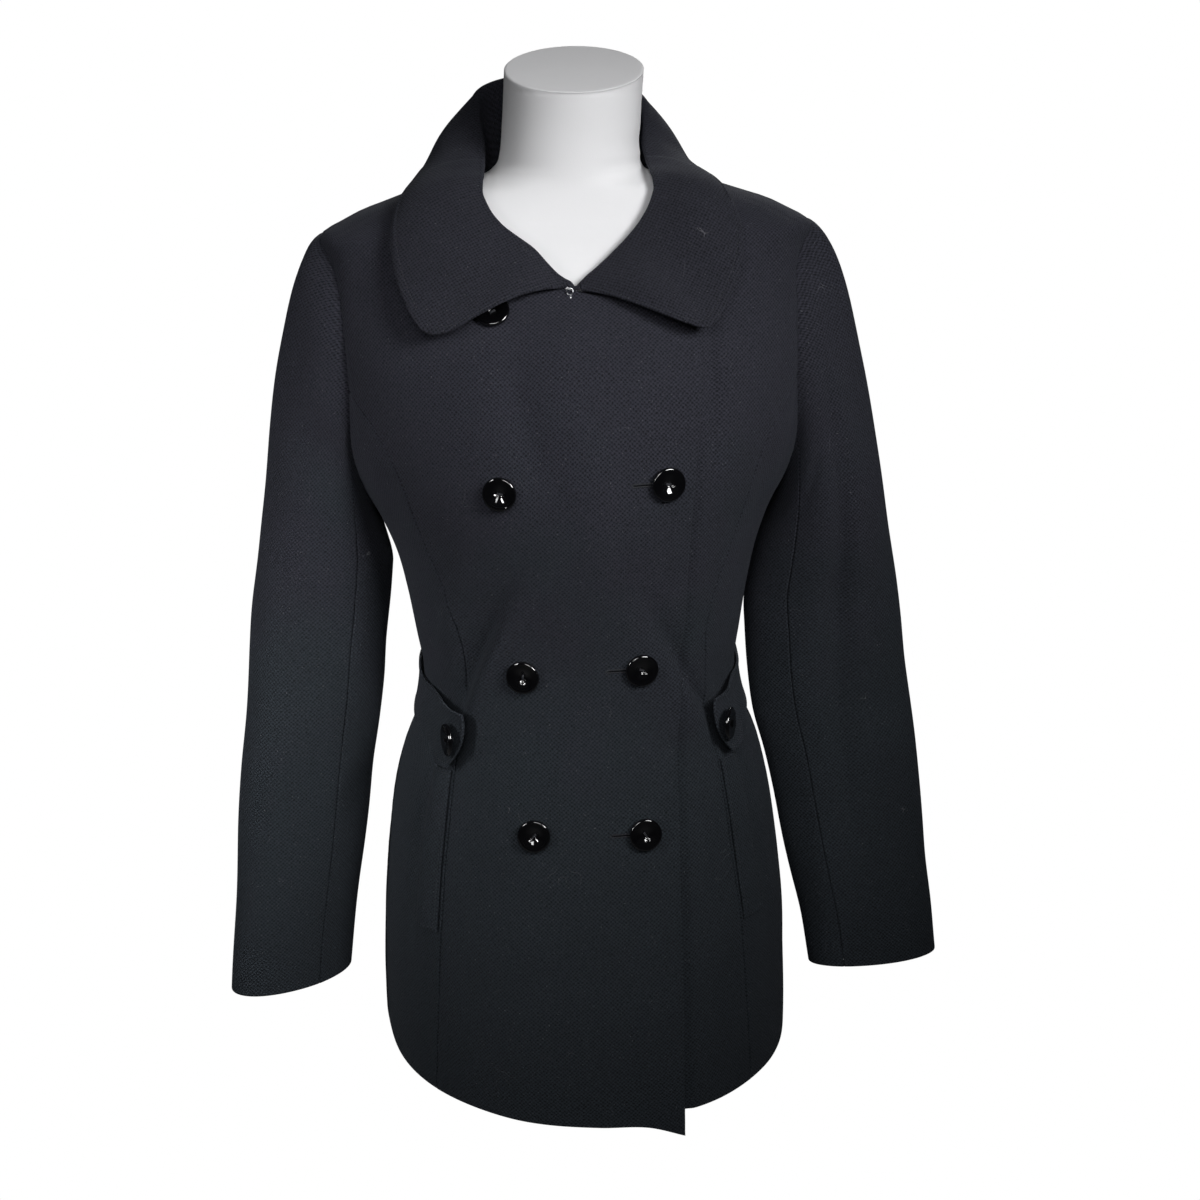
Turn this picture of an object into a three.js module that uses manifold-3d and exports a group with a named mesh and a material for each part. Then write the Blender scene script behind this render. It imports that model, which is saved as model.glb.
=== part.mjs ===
// A short double-breasted coat, closed and standing on a smooth limbless dress form.
// Millimetres, +Z up. The origin is the centre of the form's flat base. The front faces -Y,
// so the wearer's right side is at -X and the wearer's left side is at +X.
import * as THREE from "three";
import { mergeVertices } from "three/addons/utils/BufferGeometryUtils.js";
import Module from "manifold-3d";

const wasm = await Module();
wasm.setup();

// ---- Driving dimensions ------------------------------------------------------------------
const CLOTH = 2; // wall of a panel: the outer cloth with its interlining
const COLLAR_CLOTH = 2.6; // upper and under collar, turned and pressed
const SEAM = 0.3; // gap between two pieces that are sewn together
const LAP = { lift: 3.6, ease: 4, fade: 30, reach: 130 }; // how the right front stands off
const HPS = 762; // height of the shoulder seam where it meets the collar
const SHOULDER_TIP = 720; // height of the shoulder seam where it meets the sleeve
const NECK_PIT = 681; // height of the neckline at centre front
const HEM = 27; // mean height of the hem
const HEM_FADE = 120; // above this height the panels' rows are level
const ARMHOLE = { y: 8, z: 610, rise: 110, front: 68, back: 48 }; // centre and half axes
const BUTTON = { radius: 13.2, thick: 4.4, hole: 1.0, spread: 2.1, stand: 0.45 };
const UNDERLAP = 50; // how far the left front reaches past centre front, under the right front
const TURN_STEP = 0.01; // radians between the points that give a surface's direction round
const RISE_STEP = 0.4; // millimetres between the points that give its direction upwards

const rad = THREE.MathUtils.degToRad;
const mix = THREE.MathUtils.lerp;
const smooth = (t) => THREE.MathUtils.smoothstep(t, 0, 1);

// A table is a line of column names and one row of values for each section, point or fold.
function table(columns, ...rows) {
  const names = columns.split(" ");
  return rows.map((row) => Object.fromEntries(row.map((value, i) => [names[i], value])));
}

// A smooth curve through one column of a table, read against its key column.
function curve(rows, key, column) {
  const x = rows.map((row) => row[key]);
  const y = rows.map((row) => row[column]);
  const last = x.length - 1;
  const slope = (i) => (y[i + 1] - y[i]) / (x[i + 1] - x[i]);
  const tangent = x.map((_, i) => {
    if (i === 0) return slope(0);
    if (i === last) return slope(last - 1);
    const before = x[i] - x[i - 1];
    const after = x[i + 1] - x[i];
    return (slope(i - 1) * after + slope(i) * before) / (before + after);
  });
  return (at) => {
    const t = Math.min(Math.max(at, x[0]), x[last]);
    let i = 0;
    while (i < last - 1 && t > x[i + 1]) i++;
    const step = x[i + 1] - x[i];
    const s = (t - x[i]) / step;
    const s2 = s * s;
    const s3 = s2 * s;
    return (
      y[i] * (2 * s3 - 3 * s2 + 1) +
      tangent[i] * step * (s3 - 2 * s2 + s) +
      y[i + 1] * (3 * s2 - 2 * s3) +
      tangent[i + 1] * step * (s3 - s2)
    );
  };
}

function curves(rows, key) {
  const columns = Object.keys(rows[0]).filter((name) => name !== key);
  return Object.fromEntries(columns.map((name) => [name, curve(rows, key, name)]));
}

// ---- The coat's body as level sections ---------------------------------------------------
// half: half width. side: y of the widest point. front, back: y on the centre lines.
// squareF, squareB: how square the front and back halves are; 2 is a plain ellipse.
const body = curves(
  table(
    "z half side front back squareF squareB",
    [0, 175, 88, -148.5, 153, 2.4, 2.9],
    [40, 175, 82, -148, 152, 2.4, 2.9],
    [100, 173.5, 70, -146, 149, 2.4, 2.7],
    [165, 169, 48, -142, 140, 2.4, 2.5],
    [210, 163.5, 30, -138.5, 129, 2.35, 2.4],
    [260, 156, 14, -134.5, 114, 2.3, 2.35],
    [300, 145.5, 5, -130.5, 102, 2.3, 2.3],
    [335, 132.5, 1, -127.5, 94, 2.35, 2.3],
    [367, 127.5, 0, -126.5, 91, 2.4, 2.3],
    [400, 131.5, 0, -128, 92, 2.35, 2.3],
    [440, 138, 0, -135, 97, 2.25, 2.3],
    [475, 147, 0, -142, 102, 2.15, 2.3],
    [500, 158, 3, -146.5, 105, 2.1, 2.3],
    [525, 172, 6, -149, 108, 2.1, 2.3],
    [555, 184, 8, -148.5, 110, 2.15, 2.3],
    [600, 188, 8, -141, 113, 2.3, 2.45],
    [640, 189, 8, -125, 112.5, 2.5, 2.65],
    [681, 189.5, 8, -92, 106, 2.8, 2.85],
    [705, 190, 8, -76, 98, 3.0, 2.9],
    [SHOULDER_TIP, 190, 8, -67, 91, 2.9, 2.8],
    [728, 175, 8, -63, 86, 2.75, 2.7],
    [735.5, 160, 8, -60, 82, 2.6, 2.6],
    [742.5, 141, 8, -57, 77, 2.5, 2.5],
    [748, 126, 8, -55, 73, 2.4, 2.4],
    [753, 110, 8, -53, 70, 2.35, 2.3],
    [757, 95, 8, -51.5, 67.5, 2.3, 2.25],
    [HPS, 70, 8, -50, 64, 2.2, 2.2],
  ),
  "z",
);

// Soft ridges (+) and troughs (-) of the cloth. at: degrees round from centre front,
// lean: degrees that the fold turns for each 100 mm of height.
const FOLDS = table(
  "at z wide tall depth lean",
  [-37, 356, 8, 44, 4.2, 8],
  [37, 352, 8, 46, 4.6, -8],
  [-57, 346, 15, 42, -5.0, 0],
  [57, 344, 15, 42, -5.2, 0],
  [-24, 420, 8, 60, -2.0, 16],
  [24, 338, 8, 34, -2.4, -22],
  [58, 690, 14, 26, -3.0, 0],
  [-120, 378, 16, 40, -2.5, 0],
  [122, 372, 15, 44, -2.8, 0],
  [160, 330, 10, 70, 2.0, 4],
  [-158, 322, 11, 80, 2.2, -3],
);

const turn = (angle) => ((((angle + 180) % 360) + 360) % 360) - 180;

function foldHeight(theta, z) {
  const degrees = THREE.MathUtils.radToDeg(theta);
  return FOLDS.reduce((sum, fold) => {
    const up = z - fold.z;
    const across = turn(degrees - fold.at - (fold.lean * up) / 100) / fold.wide;
    return sum + fold.depth * Math.exp(-(across * across) - (up / fold.tall) ** 2);
  }, 0);
}

function sectionPoint(theta, z) {
  const s = Math.sin(theta);
  const c = Math.cos(theta);
  const square = c > 0 ? body.squareF(z) : body.squareB(z);
  const r = (Math.abs(s) ** square + Math.abs(c) ** square) ** (-1 / square);
  const side = body.side(z);
  const depth = c > 0 ? side - body.front(z) : body.back(z) - side;
  return new THREE.Vector3(body.half(z) * s * r, side - depth * c * r, z);
}

// The outward normal of any surface that is given as a function of (theta, z).
function normalOf(surface, theta, z) {
  const across = surface(theta + TURN_STEP, z).sub(surface(theta - TURN_STEP, z));
  const up = surface(theta, z + RISE_STEP).sub(surface(theta, z - RISE_STEP));
  return across.cross(up).normalize();
}

// The coat's outer surface, moved out by `out` along the plain section's normal.
function bodyPoint(theta, z, out = 0) {
  const n = normalOf(sectionPoint, theta, z);
  return sectionPoint(theta, z).addScaledVector(n, foldHeight(theta, z) + out);
}

// Angle of the section's point at a given x, or at a given y on the front (-1) or back (1).
function angleAtX(z, x, back = false) {
  const square = back ? body.squareB(z) : body.squareF(z);
  const v = Math.min(Math.abs(x) / body.half(z), 1) ** square;
  const angle = Math.atan2(v ** (1 / square), (1 - v) ** (1 / square));
  return Math.sign(x) * (back ? Math.PI - angle : angle);
}

function angleAtY(z, y, back) {
  const square = back ? body.squareB(z) : body.squareF(z);
  const side = body.side(z);
  const depth = back ? body.back(z) - side : side - body.front(z);
  const v = Math.min(Math.abs(y - side) / depth, 1) ** square;
  const angle = Math.atan2((1 - v) ** (1 / square), v ** (1 / square));
  return back ? Math.PI - angle : angle;
}

// The armhole is an ellipse seen from the side. Angle of its front or back edge at a height.
function armholeAngle(z, back) {
  const up = Math.min(Math.abs(z - ARMHOLE.z) / ARMHOLE.rise, 1);
  const reach = Math.sqrt(1 - up * up);
  const y = back ? ARMHOLE.y + ARMHOLE.back * reach : ARMHOLE.y - ARMHOLE.front * reach;
  return angleAtY(z, y, back);
}

// ---- Seam lines: x of each line, by height ------------------------------------------------
const frontSeam = curve(
  table(
    "z x",
    [0, 132],
    [100, 126],
    [172, 121],
    [260, 111],
    [316, 103],
    [380, 96],
    [430, 98],
    [458, 106],
    [481, 115],
    [507, 124],
    [550, 139],
    [589, 159],
    [620, 184],
  ),
  "z",
  "x",
);
const backSeam = curve(
  table(
    "z x",
    [0, 112],
    [172, 100],
    [260, 88],
    [367, 72],
    [440, 80],
    [520, 104],
    [580, 136],
    [640, 188],
  ),
  "z",
  "x",
);
const lapEdge = table(
  "z x",
  [0, 68.5],
  [120, 69.5],
  [247, 69],
  [362, 70.5],
  [433, 76],
  [523, 82],
  [595, 89],
  [640, 90.5],
  [656, 88],
  [664, 78],
  [672, 48],
  [NECK_PIT, 0],
);
const neckline = table(
  "z x",
  [NECK_PIT, 0],
  [690, -20],
  [705, -41],
  [722, -54],
  [742, -64],
  [HPS, -70],
);
// The right front ends at the lap edge, then along its top, and then at the neckline.
const rightFrontEdge = curve([...lapEdge, ...neckline.slice(1)], "z", "x");
const underlapEdge = lapEdge.map(({ z, x }) => ({ z, x: Math.min(x, UNDERLAP) }));
const leftFrontEdge = curve([...underlapEdge, ...neckline.slice(1)], "z", "x");

// Hem heights round the coat, by angle: the front that laps over hangs down at its corner.
const hemRound = curve(
  table(
    "at z",
    [-180, 27],
    [-130, 31],
    [-90, 34],
    [-45, 29],
    [0, 25],
    [30, 22.5],
    [50, 24],
    [70, 22],
    [90, 21],
    [130, 24],
    [180, 27],
  ),
  "at",
  "z",
);
const hemDip = curve(
  table("at drop", [-48, 0], [-35, 0.5], [-20, 3], [0, 6.5], [14, 9.5], [24, 23]),
  "at",
  "drop",
);
const hemOverlap = (degrees) => hemRound(degrees) - hemDip(degrees);

// Where the princess seams run into the armhole.
function meetingHeight(seam, back) {
  let low = ARMHOLE.z - ARMHOLE.rise;
  let high = ARMHOLE.z + ARMHOLE.rise / 2;
  for (let i = 0; i < 40; i++) {
    const z = (low + high) / 2;
    const inside = back
      ? angleAtX(z, seam(z), true) > armholeAngle(z, true)
      : angleAtX(z, seam(z)) < armholeAngle(z, false);
    if (inside) low = z;
    else high = z;
  }
  return low;
}
const frontMeet = meetingHeight(frontSeam, false);
const backMeet = meetingHeight(backSeam, true);
const underarm = ARMHOLE.z - ARMHOLE.rise;

// Angles of the panels' edges on the wearer's left (+X) side; the right side mirrors them.
const edges = {
  frontOuter: (z) => {
    if (z > SHOULDER_TIP) return Math.PI / 2;
    return z < frontMeet ? angleAtX(z, frontSeam(z)) : armholeAngle(z, false);
  },
  sideFrontOuter: (z) => (z < underarm ? Math.PI / 2 : armholeAngle(z, false)),
  sideBackInner: (z) => (z < underarm ? Math.PI / 2 : armholeAngle(z, true)),
  backInner: (z) => {
    if (z > SHOULDER_TIP) return Math.PI / 2;
    return z < backMeet ? angleAtX(z, backSeam(z), true) : armholeAngle(z, true);
  },
};

// ---- Walls of cloth -------------------------------------------------------------------------
// A closed wall from two grids of points: rows go up, columns go round with rising theta.
function wall(outer, inner) {
  const rows = outer.length;
  const columns = outer[0].length;
  const points = [...outer.flat(), ...inner.flat()];
  const index = [];
  const at = (i, j, side) => side * rows * columns + i * columns + j;
  const quad = (a, b, c, d) => {
    const short = points[a].distanceTo(points[c]) <= points[b].distanceTo(points[d]);
    index.push(...(short ? [a, b, c, a, c, d] : [a, b, d, b, c, d]));
  };
  for (let i = 0; i < rows - 1; i++)
    for (let j = 0; j < columns - 1; j++) {
      quad(at(i, j, 0), at(i, j + 1, 0), at(i + 1, j + 1, 0), at(i + 1, j, 0));
      quad(at(i, j, 1), at(i + 1, j, 1), at(i + 1, j + 1, 1), at(i, j + 1, 1));
    }
  for (let j = 0; j < columns - 1; j++) {
    quad(at(0, j, 1), at(0, j + 1, 1), at(0, j + 1, 0), at(0, j, 0));
    const top = rows - 1;
    quad(at(top, j, 0), at(top, j + 1, 0), at(top, j + 1, 1), at(top, j, 1));
  }
  for (let i = 0; i < rows - 1; i++) {
    quad(at(i, 0, 0), at(i + 1, 0, 0), at(i + 1, 0, 1), at(i, 0, 1));
    const end = columns - 1;
    quad(at(i, end, 1), at(i + 1, end, 1), at(i + 1, end, 0), at(i, end, 0));
  }
  return geometryOf(points, index);
}

function geometryOf(points, index) {
  const geometry = new THREE.BufferGeometry();
  geometry.setAttribute(
    "position",
    new THREE.Float32BufferAttribute(points.flatMap((p) => [p.x, p.y, p.z]), 3),
  );
  geometry.setIndex(index);
  geometry.computeVertexNormals();
  return geometry;
}

// A grid of outer points and the grid of inner points `thick` behind it.
function thickened(surface, grid, thick) {
  const outer = grid.map((row) => row.map(([u, v]) => surface(u, v)));
  const inner = grid.map((row, i) =>
    row.map(([u, v], j) => outer[i][j].clone().addScaledVector(normalOf(surface, u, v), -thick)),
  );
  return wall(outer, inner);
}

const MEET_GAP = 3; // the side panels' points stop this far below the armhole's seam
// Heights of the panels' rows: one list, so that neighbours meet row by row.
const LEVELS = [
  27, 62, 100, 150, 205, 255, 290, 316, 338, 358, 380, 408, 440, 475, 500, 506, 518, 537, 560, 584,
  frontMeet - MEET_GAP, 616, 634, 650, 658, 665, 672, 677, NECK_PIT, 688, 698, 709, SHOULDER_TIP, 729, 738,
  747, 755, 760.5,
];
const upTo = (top) => [...LEVELS.filter((z) => z < top - 0.1), top];

// One panel of the body between two edges that are given as angles by height.
function bodyPanel(levels, from, to, columns, { hem = hemRound, lift = () => 0 } = {}) {
  const surface = (theta, z) => bodyPoint(theta, z, lift(theta, z));
  const grid = levels.map((level) => {
    const first = from(level);
    const last = to(level);
    const speed = (theta) => {
      const ahead = sectionPoint(theta + TURN_STEP, level);
      return ahead.distanceTo(sectionPoint(theta - TURN_STEP, level)) / (2 * TURN_STEP);
    };
    const a = first + SEAM / 2 / speed(first);
    const b = last - SEAM / 2 / speed(last);
    return Array.from({ length: columns + 1 }, (_, j) => {
      const theta = mix(a, b, j / columns);
      const fade = Math.max(0, (HEM_FADE - level) / (HEM_FADE - HEM)) ** 2;
      return [theta, level + (hem(THREE.MathUtils.radToDeg(theta)) - HEM) * fade];
    });
  });
  return thickened(surface, grid, CLOTH);
}

// How far the right front stands off, where it lies on the left front.
function lapLift(theta, z) {
  const x = sectionPoint(theta, z).x;
  const seam = Math.min(frontSeam(Math.min(z, frontMeet)), LAP.reach);
  const over = smooth((x + seam) / (seam - UNDERLAP - LAP.ease));
  return LAP.lift * over * (1 - smooth((z - NECK_PIT) / LAP.fade));
}

const mirrored = (edge) => (z) => -edge(z);

const cloth = (color) =>
  new THREE.MeshStandardMaterial({ color, roughness: 0.92, metalness: 0, flatShading: true });
const materials = {
  panel: cloth(0x23262d),
  sleeve: cloth(0x25282f),
  collar: cloth(0x292c33),
  trim: cloth(0x2d3036),
  form: new THREE.MeshStandardMaterial({ color: 0xe6e6ea, roughness: 0.85, metalness: 0 }),
  button: new THREE.MeshStandardMaterial({ color: 0x0b0b0d, roughness: 0.16, metalness: 0 }),
  wire: new THREE.MeshStandardMaterial({ color: 0xb9bcc2, roughness: 0.28, metalness: 1 }),
};

const group = new THREE.Group();

function add(name, geometry, material) {
  const mesh = new THREE.Mesh(geometry, material.clone());
  mesh.name = name;
  group.add(mesh);
  return mesh;
}

const PANEL_COLUMNS = { right: 9, left: 8, side: 4, back: 5 };

// The wearer's two sides: which way x goes, the height of the cuff, and how far the sleeve's
// outer edge swings back (+) or forward (-) for each millimetre of its width.
const SIDES = [
  { name: "right", sign: -1, cuff: 104.5, twist: -0.4 },
  { name: "left", sign: 1, cuff: 98.5, twist: 0.12 },
];

add(
  "front_right",
  bodyPanel(
    LEVELS,
    mirrored(edges.frontOuter),
    (z) => angleAtX(z, rightFrontEdge(z)),
    PANEL_COLUMNS.right,
    { hem: hemOverlap, lift: lapLift },
  ),
  materials.panel,
);
add(
  "front_left",
  bodyPanel(
    LEVELS,
    (z) => angleAtX(z, -leftFrontEdge(z)),
    edges.frontOuter,
    PANEL_COLUMNS.left,
  ),
  materials.panel,
);
for (const { name, sign } of SIDES) {
  const panel = (piece, top, inner, outer, columns) => {
    const [from, to] = sign > 0 ? [inner, outer] : [mirrored(outer), mirrored(inner)];
    add(piece + "_" + name, bodyPanel(upTo(top), from, to, columns), materials.panel);
  };
  const { side, back } = PANEL_COLUMNS;
  panel("side_front", frontMeet - MEET_GAP, edges.frontOuter, edges.sideFrontOuter, side);
  panel("side_back", backMeet - MEET_GAP, edges.sideBackInner, edges.backInner, side);
  panel("back", HPS, edges.backInner, () => Math.PI, back);
}

// ---- Sleeves ----------------------------------------------------------------------------------
// Level rings below the underarm. outer: x of the outer edge; innerRight, innerLeft: x of the
// inner edges; y: the ring's middle; girth: length round the ring.
const sleeve = curves(
  table(
    "z outer innerRight innerLeft y girth",
    [100, 298, 200.5, 187, -20, 268],
    [142, 294, 195.5, 181, -17, 278],
    [179, 290, 190, 173, -14, 288],
    [216, 287, 183, 165, -12, 296],
    [252, 283.5, 177, 158, -10, 304],
    [288, 279.5, 171.5, 151, -8, 312],
    [320, 275.5, 166, 143.5, -6, 318],
    [356, 271, 161, 139.5, -4, 324],
    [390, 267.5, 157.5, 140, -2, 330],
    [420, 263.5, 155, 143.5, 0, 334],
    [455, 258, 152.5, 149.5, 1, 338],
  ),
  "z",
);
const SLEEVE_TOP = 455; // highest level ring; above it the sleeve turns in to the armhole
const FRONT_SLEEVE_SEAM = rad(120); // round the ring: 0 is outermost, 90 degrees is the front
const BACK_SLEEVE_SEAM = rad(245);
const SLEEVE_RADIUS = 50; // mean radius, by which the seam's gap is turned into an angle
const UNDERARM_EASE = 0.5; // the sleeve stands this much further off the panels at the underarm

// A point of the sleeve's level ring, for the wearer's left; twist brings one end forward.
function ringPoint(side, phi, z) {
  const inner = side.sign < 0 ? sleeve.innerRight(z) : sleeve.innerLeft(z);
  const wide = (sleeve.outer(z) - inner) / 2;
  const around = sleeve.girth(z) / (2 * Math.PI);
  const deep = Math.sqrt(2 * around * around - wide * wide);
  const out = wide * Math.cos(phi);
  const twist = side.twist * Math.min(1, (SLEEVE_TOP - z) / (SLEEVE_TOP - side.cuff));
  return new THREE.Vector3(inner + wide + out, sleeve.y(z) - deep * Math.sin(phi) + twist * out, z);
}

function armholePoint(phi) {
  const reach = Math.sin(phi) > 0 ? ARMHOLE.front : ARMHOLE.back;
  const y = ARMHOLE.y - reach * Math.sin(phi);
  const z = ARMHOLE.z + ARMHOLE.rise * Math.cos(phi);
  const theta = armholeAngle(z, Math.sin(phi) < 0);
  const p = sectionPoint(theta, z);
  return new THREE.Vector3(p.x + SEAM + UNDERARM_EASE * smooth(-Math.cos(phi)), y, z);
}

// How the sleeve head leaves the armhole and runs into the level rings, at the underarm and at
// the crown. out, rise: direction of leaving. leave, arrive: how strongly it keeps each direction.
const UNDERARM_SWEEP = { out: 0.1, rise: -1, leave: 24, arrive: 4.2 };
const CROWN_SWEEP = { out: 1, rise: -0.28, leave: 100, arrive: 26 };
const SWEEP_SPREAD = { front: 0.3, back: 0.24 }; // how much it leaves towards the front or back
const CROWN_SHARE = 1.25; // how soon going up the armhole the crown's outward direction rules
const SLOPE_DEPTH = 10; // millimetres over which the level rings' slope is read

// The sleeve head: a smooth sweep from the armhole (t = 0) to the highest level ring (t = 1).
function headPoint(side, phi, t) {
  const start = armholePoint(phi);
  const end = ringPoint(side, phi, SLEEVE_TOP);
  const below = ringPoint(side, phi, SLEEVE_TOP - SLOPE_DEPTH);
  const up = (1 + Math.cos(phi)) / 2;
  const between = (key, share) => mix(UNDERARM_SWEEP[key], CROWN_SWEEP[key], share);
  const spread = Math.sin(phi) > 0 ? SWEEP_SPREAD.front : SWEEP_SPREAD.back;
  const leave = new THREE.Vector3(
    between("out", smooth(up * CROWN_SHARE)),
    -spread * Math.sin(phi),
    between("rise", up),
  ).multiplyScalar(between("leave", up));
  const arrive = below.sub(end).multiplyScalar(between("arrive", up));
  const t2 = t * t;
  const t3 = t2 * t;
  return start
    .multiplyScalar(2 * t3 - 3 * t2 + 1)
    .addScaledVector(leave, t3 - 2 * t2 + t)
    .addScaledVector(end, 3 * t2 - 2 * t3)
    .addScaledVector(arrive, t3 - t2);
}

// The whole sleeve as one surface: v runs from the cuff (0) to the armhole (1).
const HEAD_START = 0.6;
function sleevePoint(side, phi, v) {
  const p =
    v < HEAD_START
      ? ringPoint(side, phi, mix(side.cuff, SLEEVE_TOP, v / HEAD_START))
      : headPoint(side, phi, 1 - (v - HEAD_START) / (1 - HEAD_START));
  p.x *= side.sign;
  return p;
}

const SLEEVE_ROWS = [
  0, 0.07, 0.15, 0.24, 0.33, 0.42, 0.51, 0.6, 0.66, 0.72, 0.78, 0.84, 0.89, 0.935, 0.97, 1,
];

const RING_STEP = 0.02; // radians between the points that give the sleeve's direction round
const LENGTH_STEP = 0.004; // share of its length between those that give its direction upwards
const SLEEVE_COLUMNS = { top: 9, under: 5 };

function sleevePanel(side, from, to, columns) {
  const surface = (phi, v) => sleevePoint(side, phi, v);
  const gap = SEAM / 2 / SLEEVE_RADIUS;
  const [a, b] = side.sign > 0 ? [to - gap, from + gap] : [from + gap, to - gap];
  const grid = SLEEVE_ROWS.map((v) =>
    Array.from({ length: columns + 1 }, (_, j) => [mix(a, b, j / columns), v]),
  );
  const outer = grid.map((row) => row.map(([u, v]) => surface(u, v)));
  const inner = grid.map((row, i) =>
    row.map(([u, v], j) => {
      const low = Math.max(v - LENGTH_STEP, 0);
      const high = Math.min(v + LENGTH_STEP, 1);
      const across = surface(u + RING_STEP, v).sub(surface(u - RING_STEP, v));
      across.multiplyScalar(-side.sign);
      const up = surface(u, high).sub(surface(u, low));
      return outer[i][j].clone().addScaledVector(across.cross(up).normalize(), -CLOTH);
    }),
  );
  return wall(outer, inner);
}

for (const side of SIDES) {
  const whole = 2 * Math.PI;
  add(
    "top_sleeve_" + side.name,
    sleevePanel(side, BACK_SLEEVE_SEAM - whole, FRONT_SLEEVE_SEAM, SLEEVE_COLUMNS.top),
    materials.sleeve,
  );
  add(
    "under_sleeve_" + side.name,
    sleevePanel(side, FRONT_SLEEVE_SEAM, BACK_SLEEVE_SEAM, SLEEVE_COLUMNS.under),
    materials.sleeve,
  );
}

// ---- Collar --------------------------------------------------------------------------------------
// One turned piece: a stand that rises from the neckline, a roll, and a leaf that falls outside.
// u runs from the front (0) to the centre back (1), here for the wearer's left. bow: how far the
// middle of the leaf swells out between its roll and its edge. inset, drop: how much nearer the
// neck and how much lower the edge lies on the wearer's left than on the right.
const collarEdge = curves(
  table(
    "u x y z bow inset drop",
    [0, 5, -95.5, 687.5, 0, 0, 3.5],
    [0.06, 28, -106, 685, 1.5, 0, 4],
    [0.12, 52, -116, 677, 3, 0, 1.5],
    [0.18, 76, -123, 666, 3.5, 0, -1.5],
    [0.235, 97, -124, 656.5, 4, 2, -4.5],
    [0.27, 108.5, -121, 656, 4, 7, -5.5],
    [0.3, 116, -116, 660.5, 4.5, 10, -4],
    [0.33, 122, -107, 669, 5, 10.5, -1],
    [0.37, 129, -93, 684.3, 6, 7.5, 0],
    [0.42, 134, -78, 703, 8, 5, 0],
    [0.48, 136, -62, 724.5, 9.5, 6.5, -0.5],
    [0.54, 131, -34, 744.5, 9.5, 9, -4.5],
    [0.6, 120, 12, 755, 8, 9, -3.5],
    [0.68, 110, 48, 757, 9, 6.5, -1],
    [0.78, 92, 84, 747, 8.5, 0, 0],
    [0.89, 52, 112, 741, 6, 0, 0],
    [1, 0, 122, 739, 4, 0, 0],
  ),
  "u",
);
// The roll line, and the radius that the cloth turns round there.
const collarRoll = curves(
  table(
    "u x y z radius",
    [0, 3.5, -90, 687.5, 3.0],
    [0.06, 10, -87, 693.5, 3.1],
    [0.12, 19, -83.5, 701, 3.2],
    [0.2, 31, -78.5, 711, 3.3],
    [0.28, 43, -73, 721.3, 3.4],
    [0.36, 54, -67, 733, 3.4],
    [0.42, 61, -60, 743.5, 3.4],
    [0.46, 64, -53, 751.3, 3.4],
    [0.5, 64, -42, 760, 3.4],
    [0.56, 62.5, -10, 769.5, 3.4],
    [0.62, 62.5, 18, 784, 4],
    [0.7, 67, 46, 805.5, 5],
    [0.78, 63, 65, 819.5, 6],
    [0.88, 38, 80, 829, 6.5],
    [1, 0, 87, 832, 6.5],
  ),
  "u",
);
// Where each station stands on the neckline: a height on the front, an angle on the back.
const collarFoot = table(
  "u z angle",
  [0, 681.6, 0],
  [0.06, 685, 0],
  [0.12, 690, 0],
  [0.2, 700, 0],
  [0.28, 712, 0],
  [0.36, 727, 0],
  [0.42, 741, 0],
  [0.46, 749, 0],
  [0.5, 756, 0],
  [0.54, 760.8, 0],
  [0.575, HPS, 90],
  [0.62, HPS, 102],
  [0.7, HPS, 121],
  [0.78, HPS, 139],
  [0.88, HPS, 158],
  [1, HPS, 180],
);
const FRONT_FOOT = 0.575; // the station at the shoulder seam
const footHeight = curve(collarFoot.slice(0, 11), "u", "z");
const footAngle = curve(collarFoot.slice(10), "u", "angle");
// How much the collar drops for each millimetre across, so that the wearer's right sits higher.
const collarLean = curve(
  table(
    "u drop",
    [0, 0],
    [0.12, 0.06],
    [0.18, 0.05],
    [0.27, 0.018],
    [0.6, 0.01],
    [0.7, 0.04],
    [1, 0.06],
  ),
  "u",
  "drop",
);
const COLLAR_STAND = 0.5; // the stand's foot is this far above the panels
const FRONT_GAP = 1.6; // each front end of the collar stops this far from centre front
const TANGENT_LIMIT = 0.9; // the roll's radius is kept under this share of each leg's length
const TIGHTEN = 0.4; // how much less the leaf swells out for each millimetre that its edge is inset
const STATION_STEP = 0.02; // share of u over which the leaf's direction round is read

const collarNeck = curve(neckline, "z", "x");

function footPoint(u, sign) {
  let z = HPS;
  let theta = rad(footAngle(u));
  if (u < FRONT_FOOT) {
    z = footHeight(u);
    theta = angleAtX(z, -collarNeck(z));
  }
  const n = normalOf(sectionPoint, theta, z);
  const lift = sign < 0 ? LAP.lift * (1 - smooth((z - NECK_PIT) / LAP.fade)) : 0;
  const foot = sectionPoint(theta, z).addScaledVector(n, COLLAR_STAND + lift);
  foot.x = Math.max(foot.x, u < FRONT_FOOT ? FRONT_GAP : 0);
  return foot;
}

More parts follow.
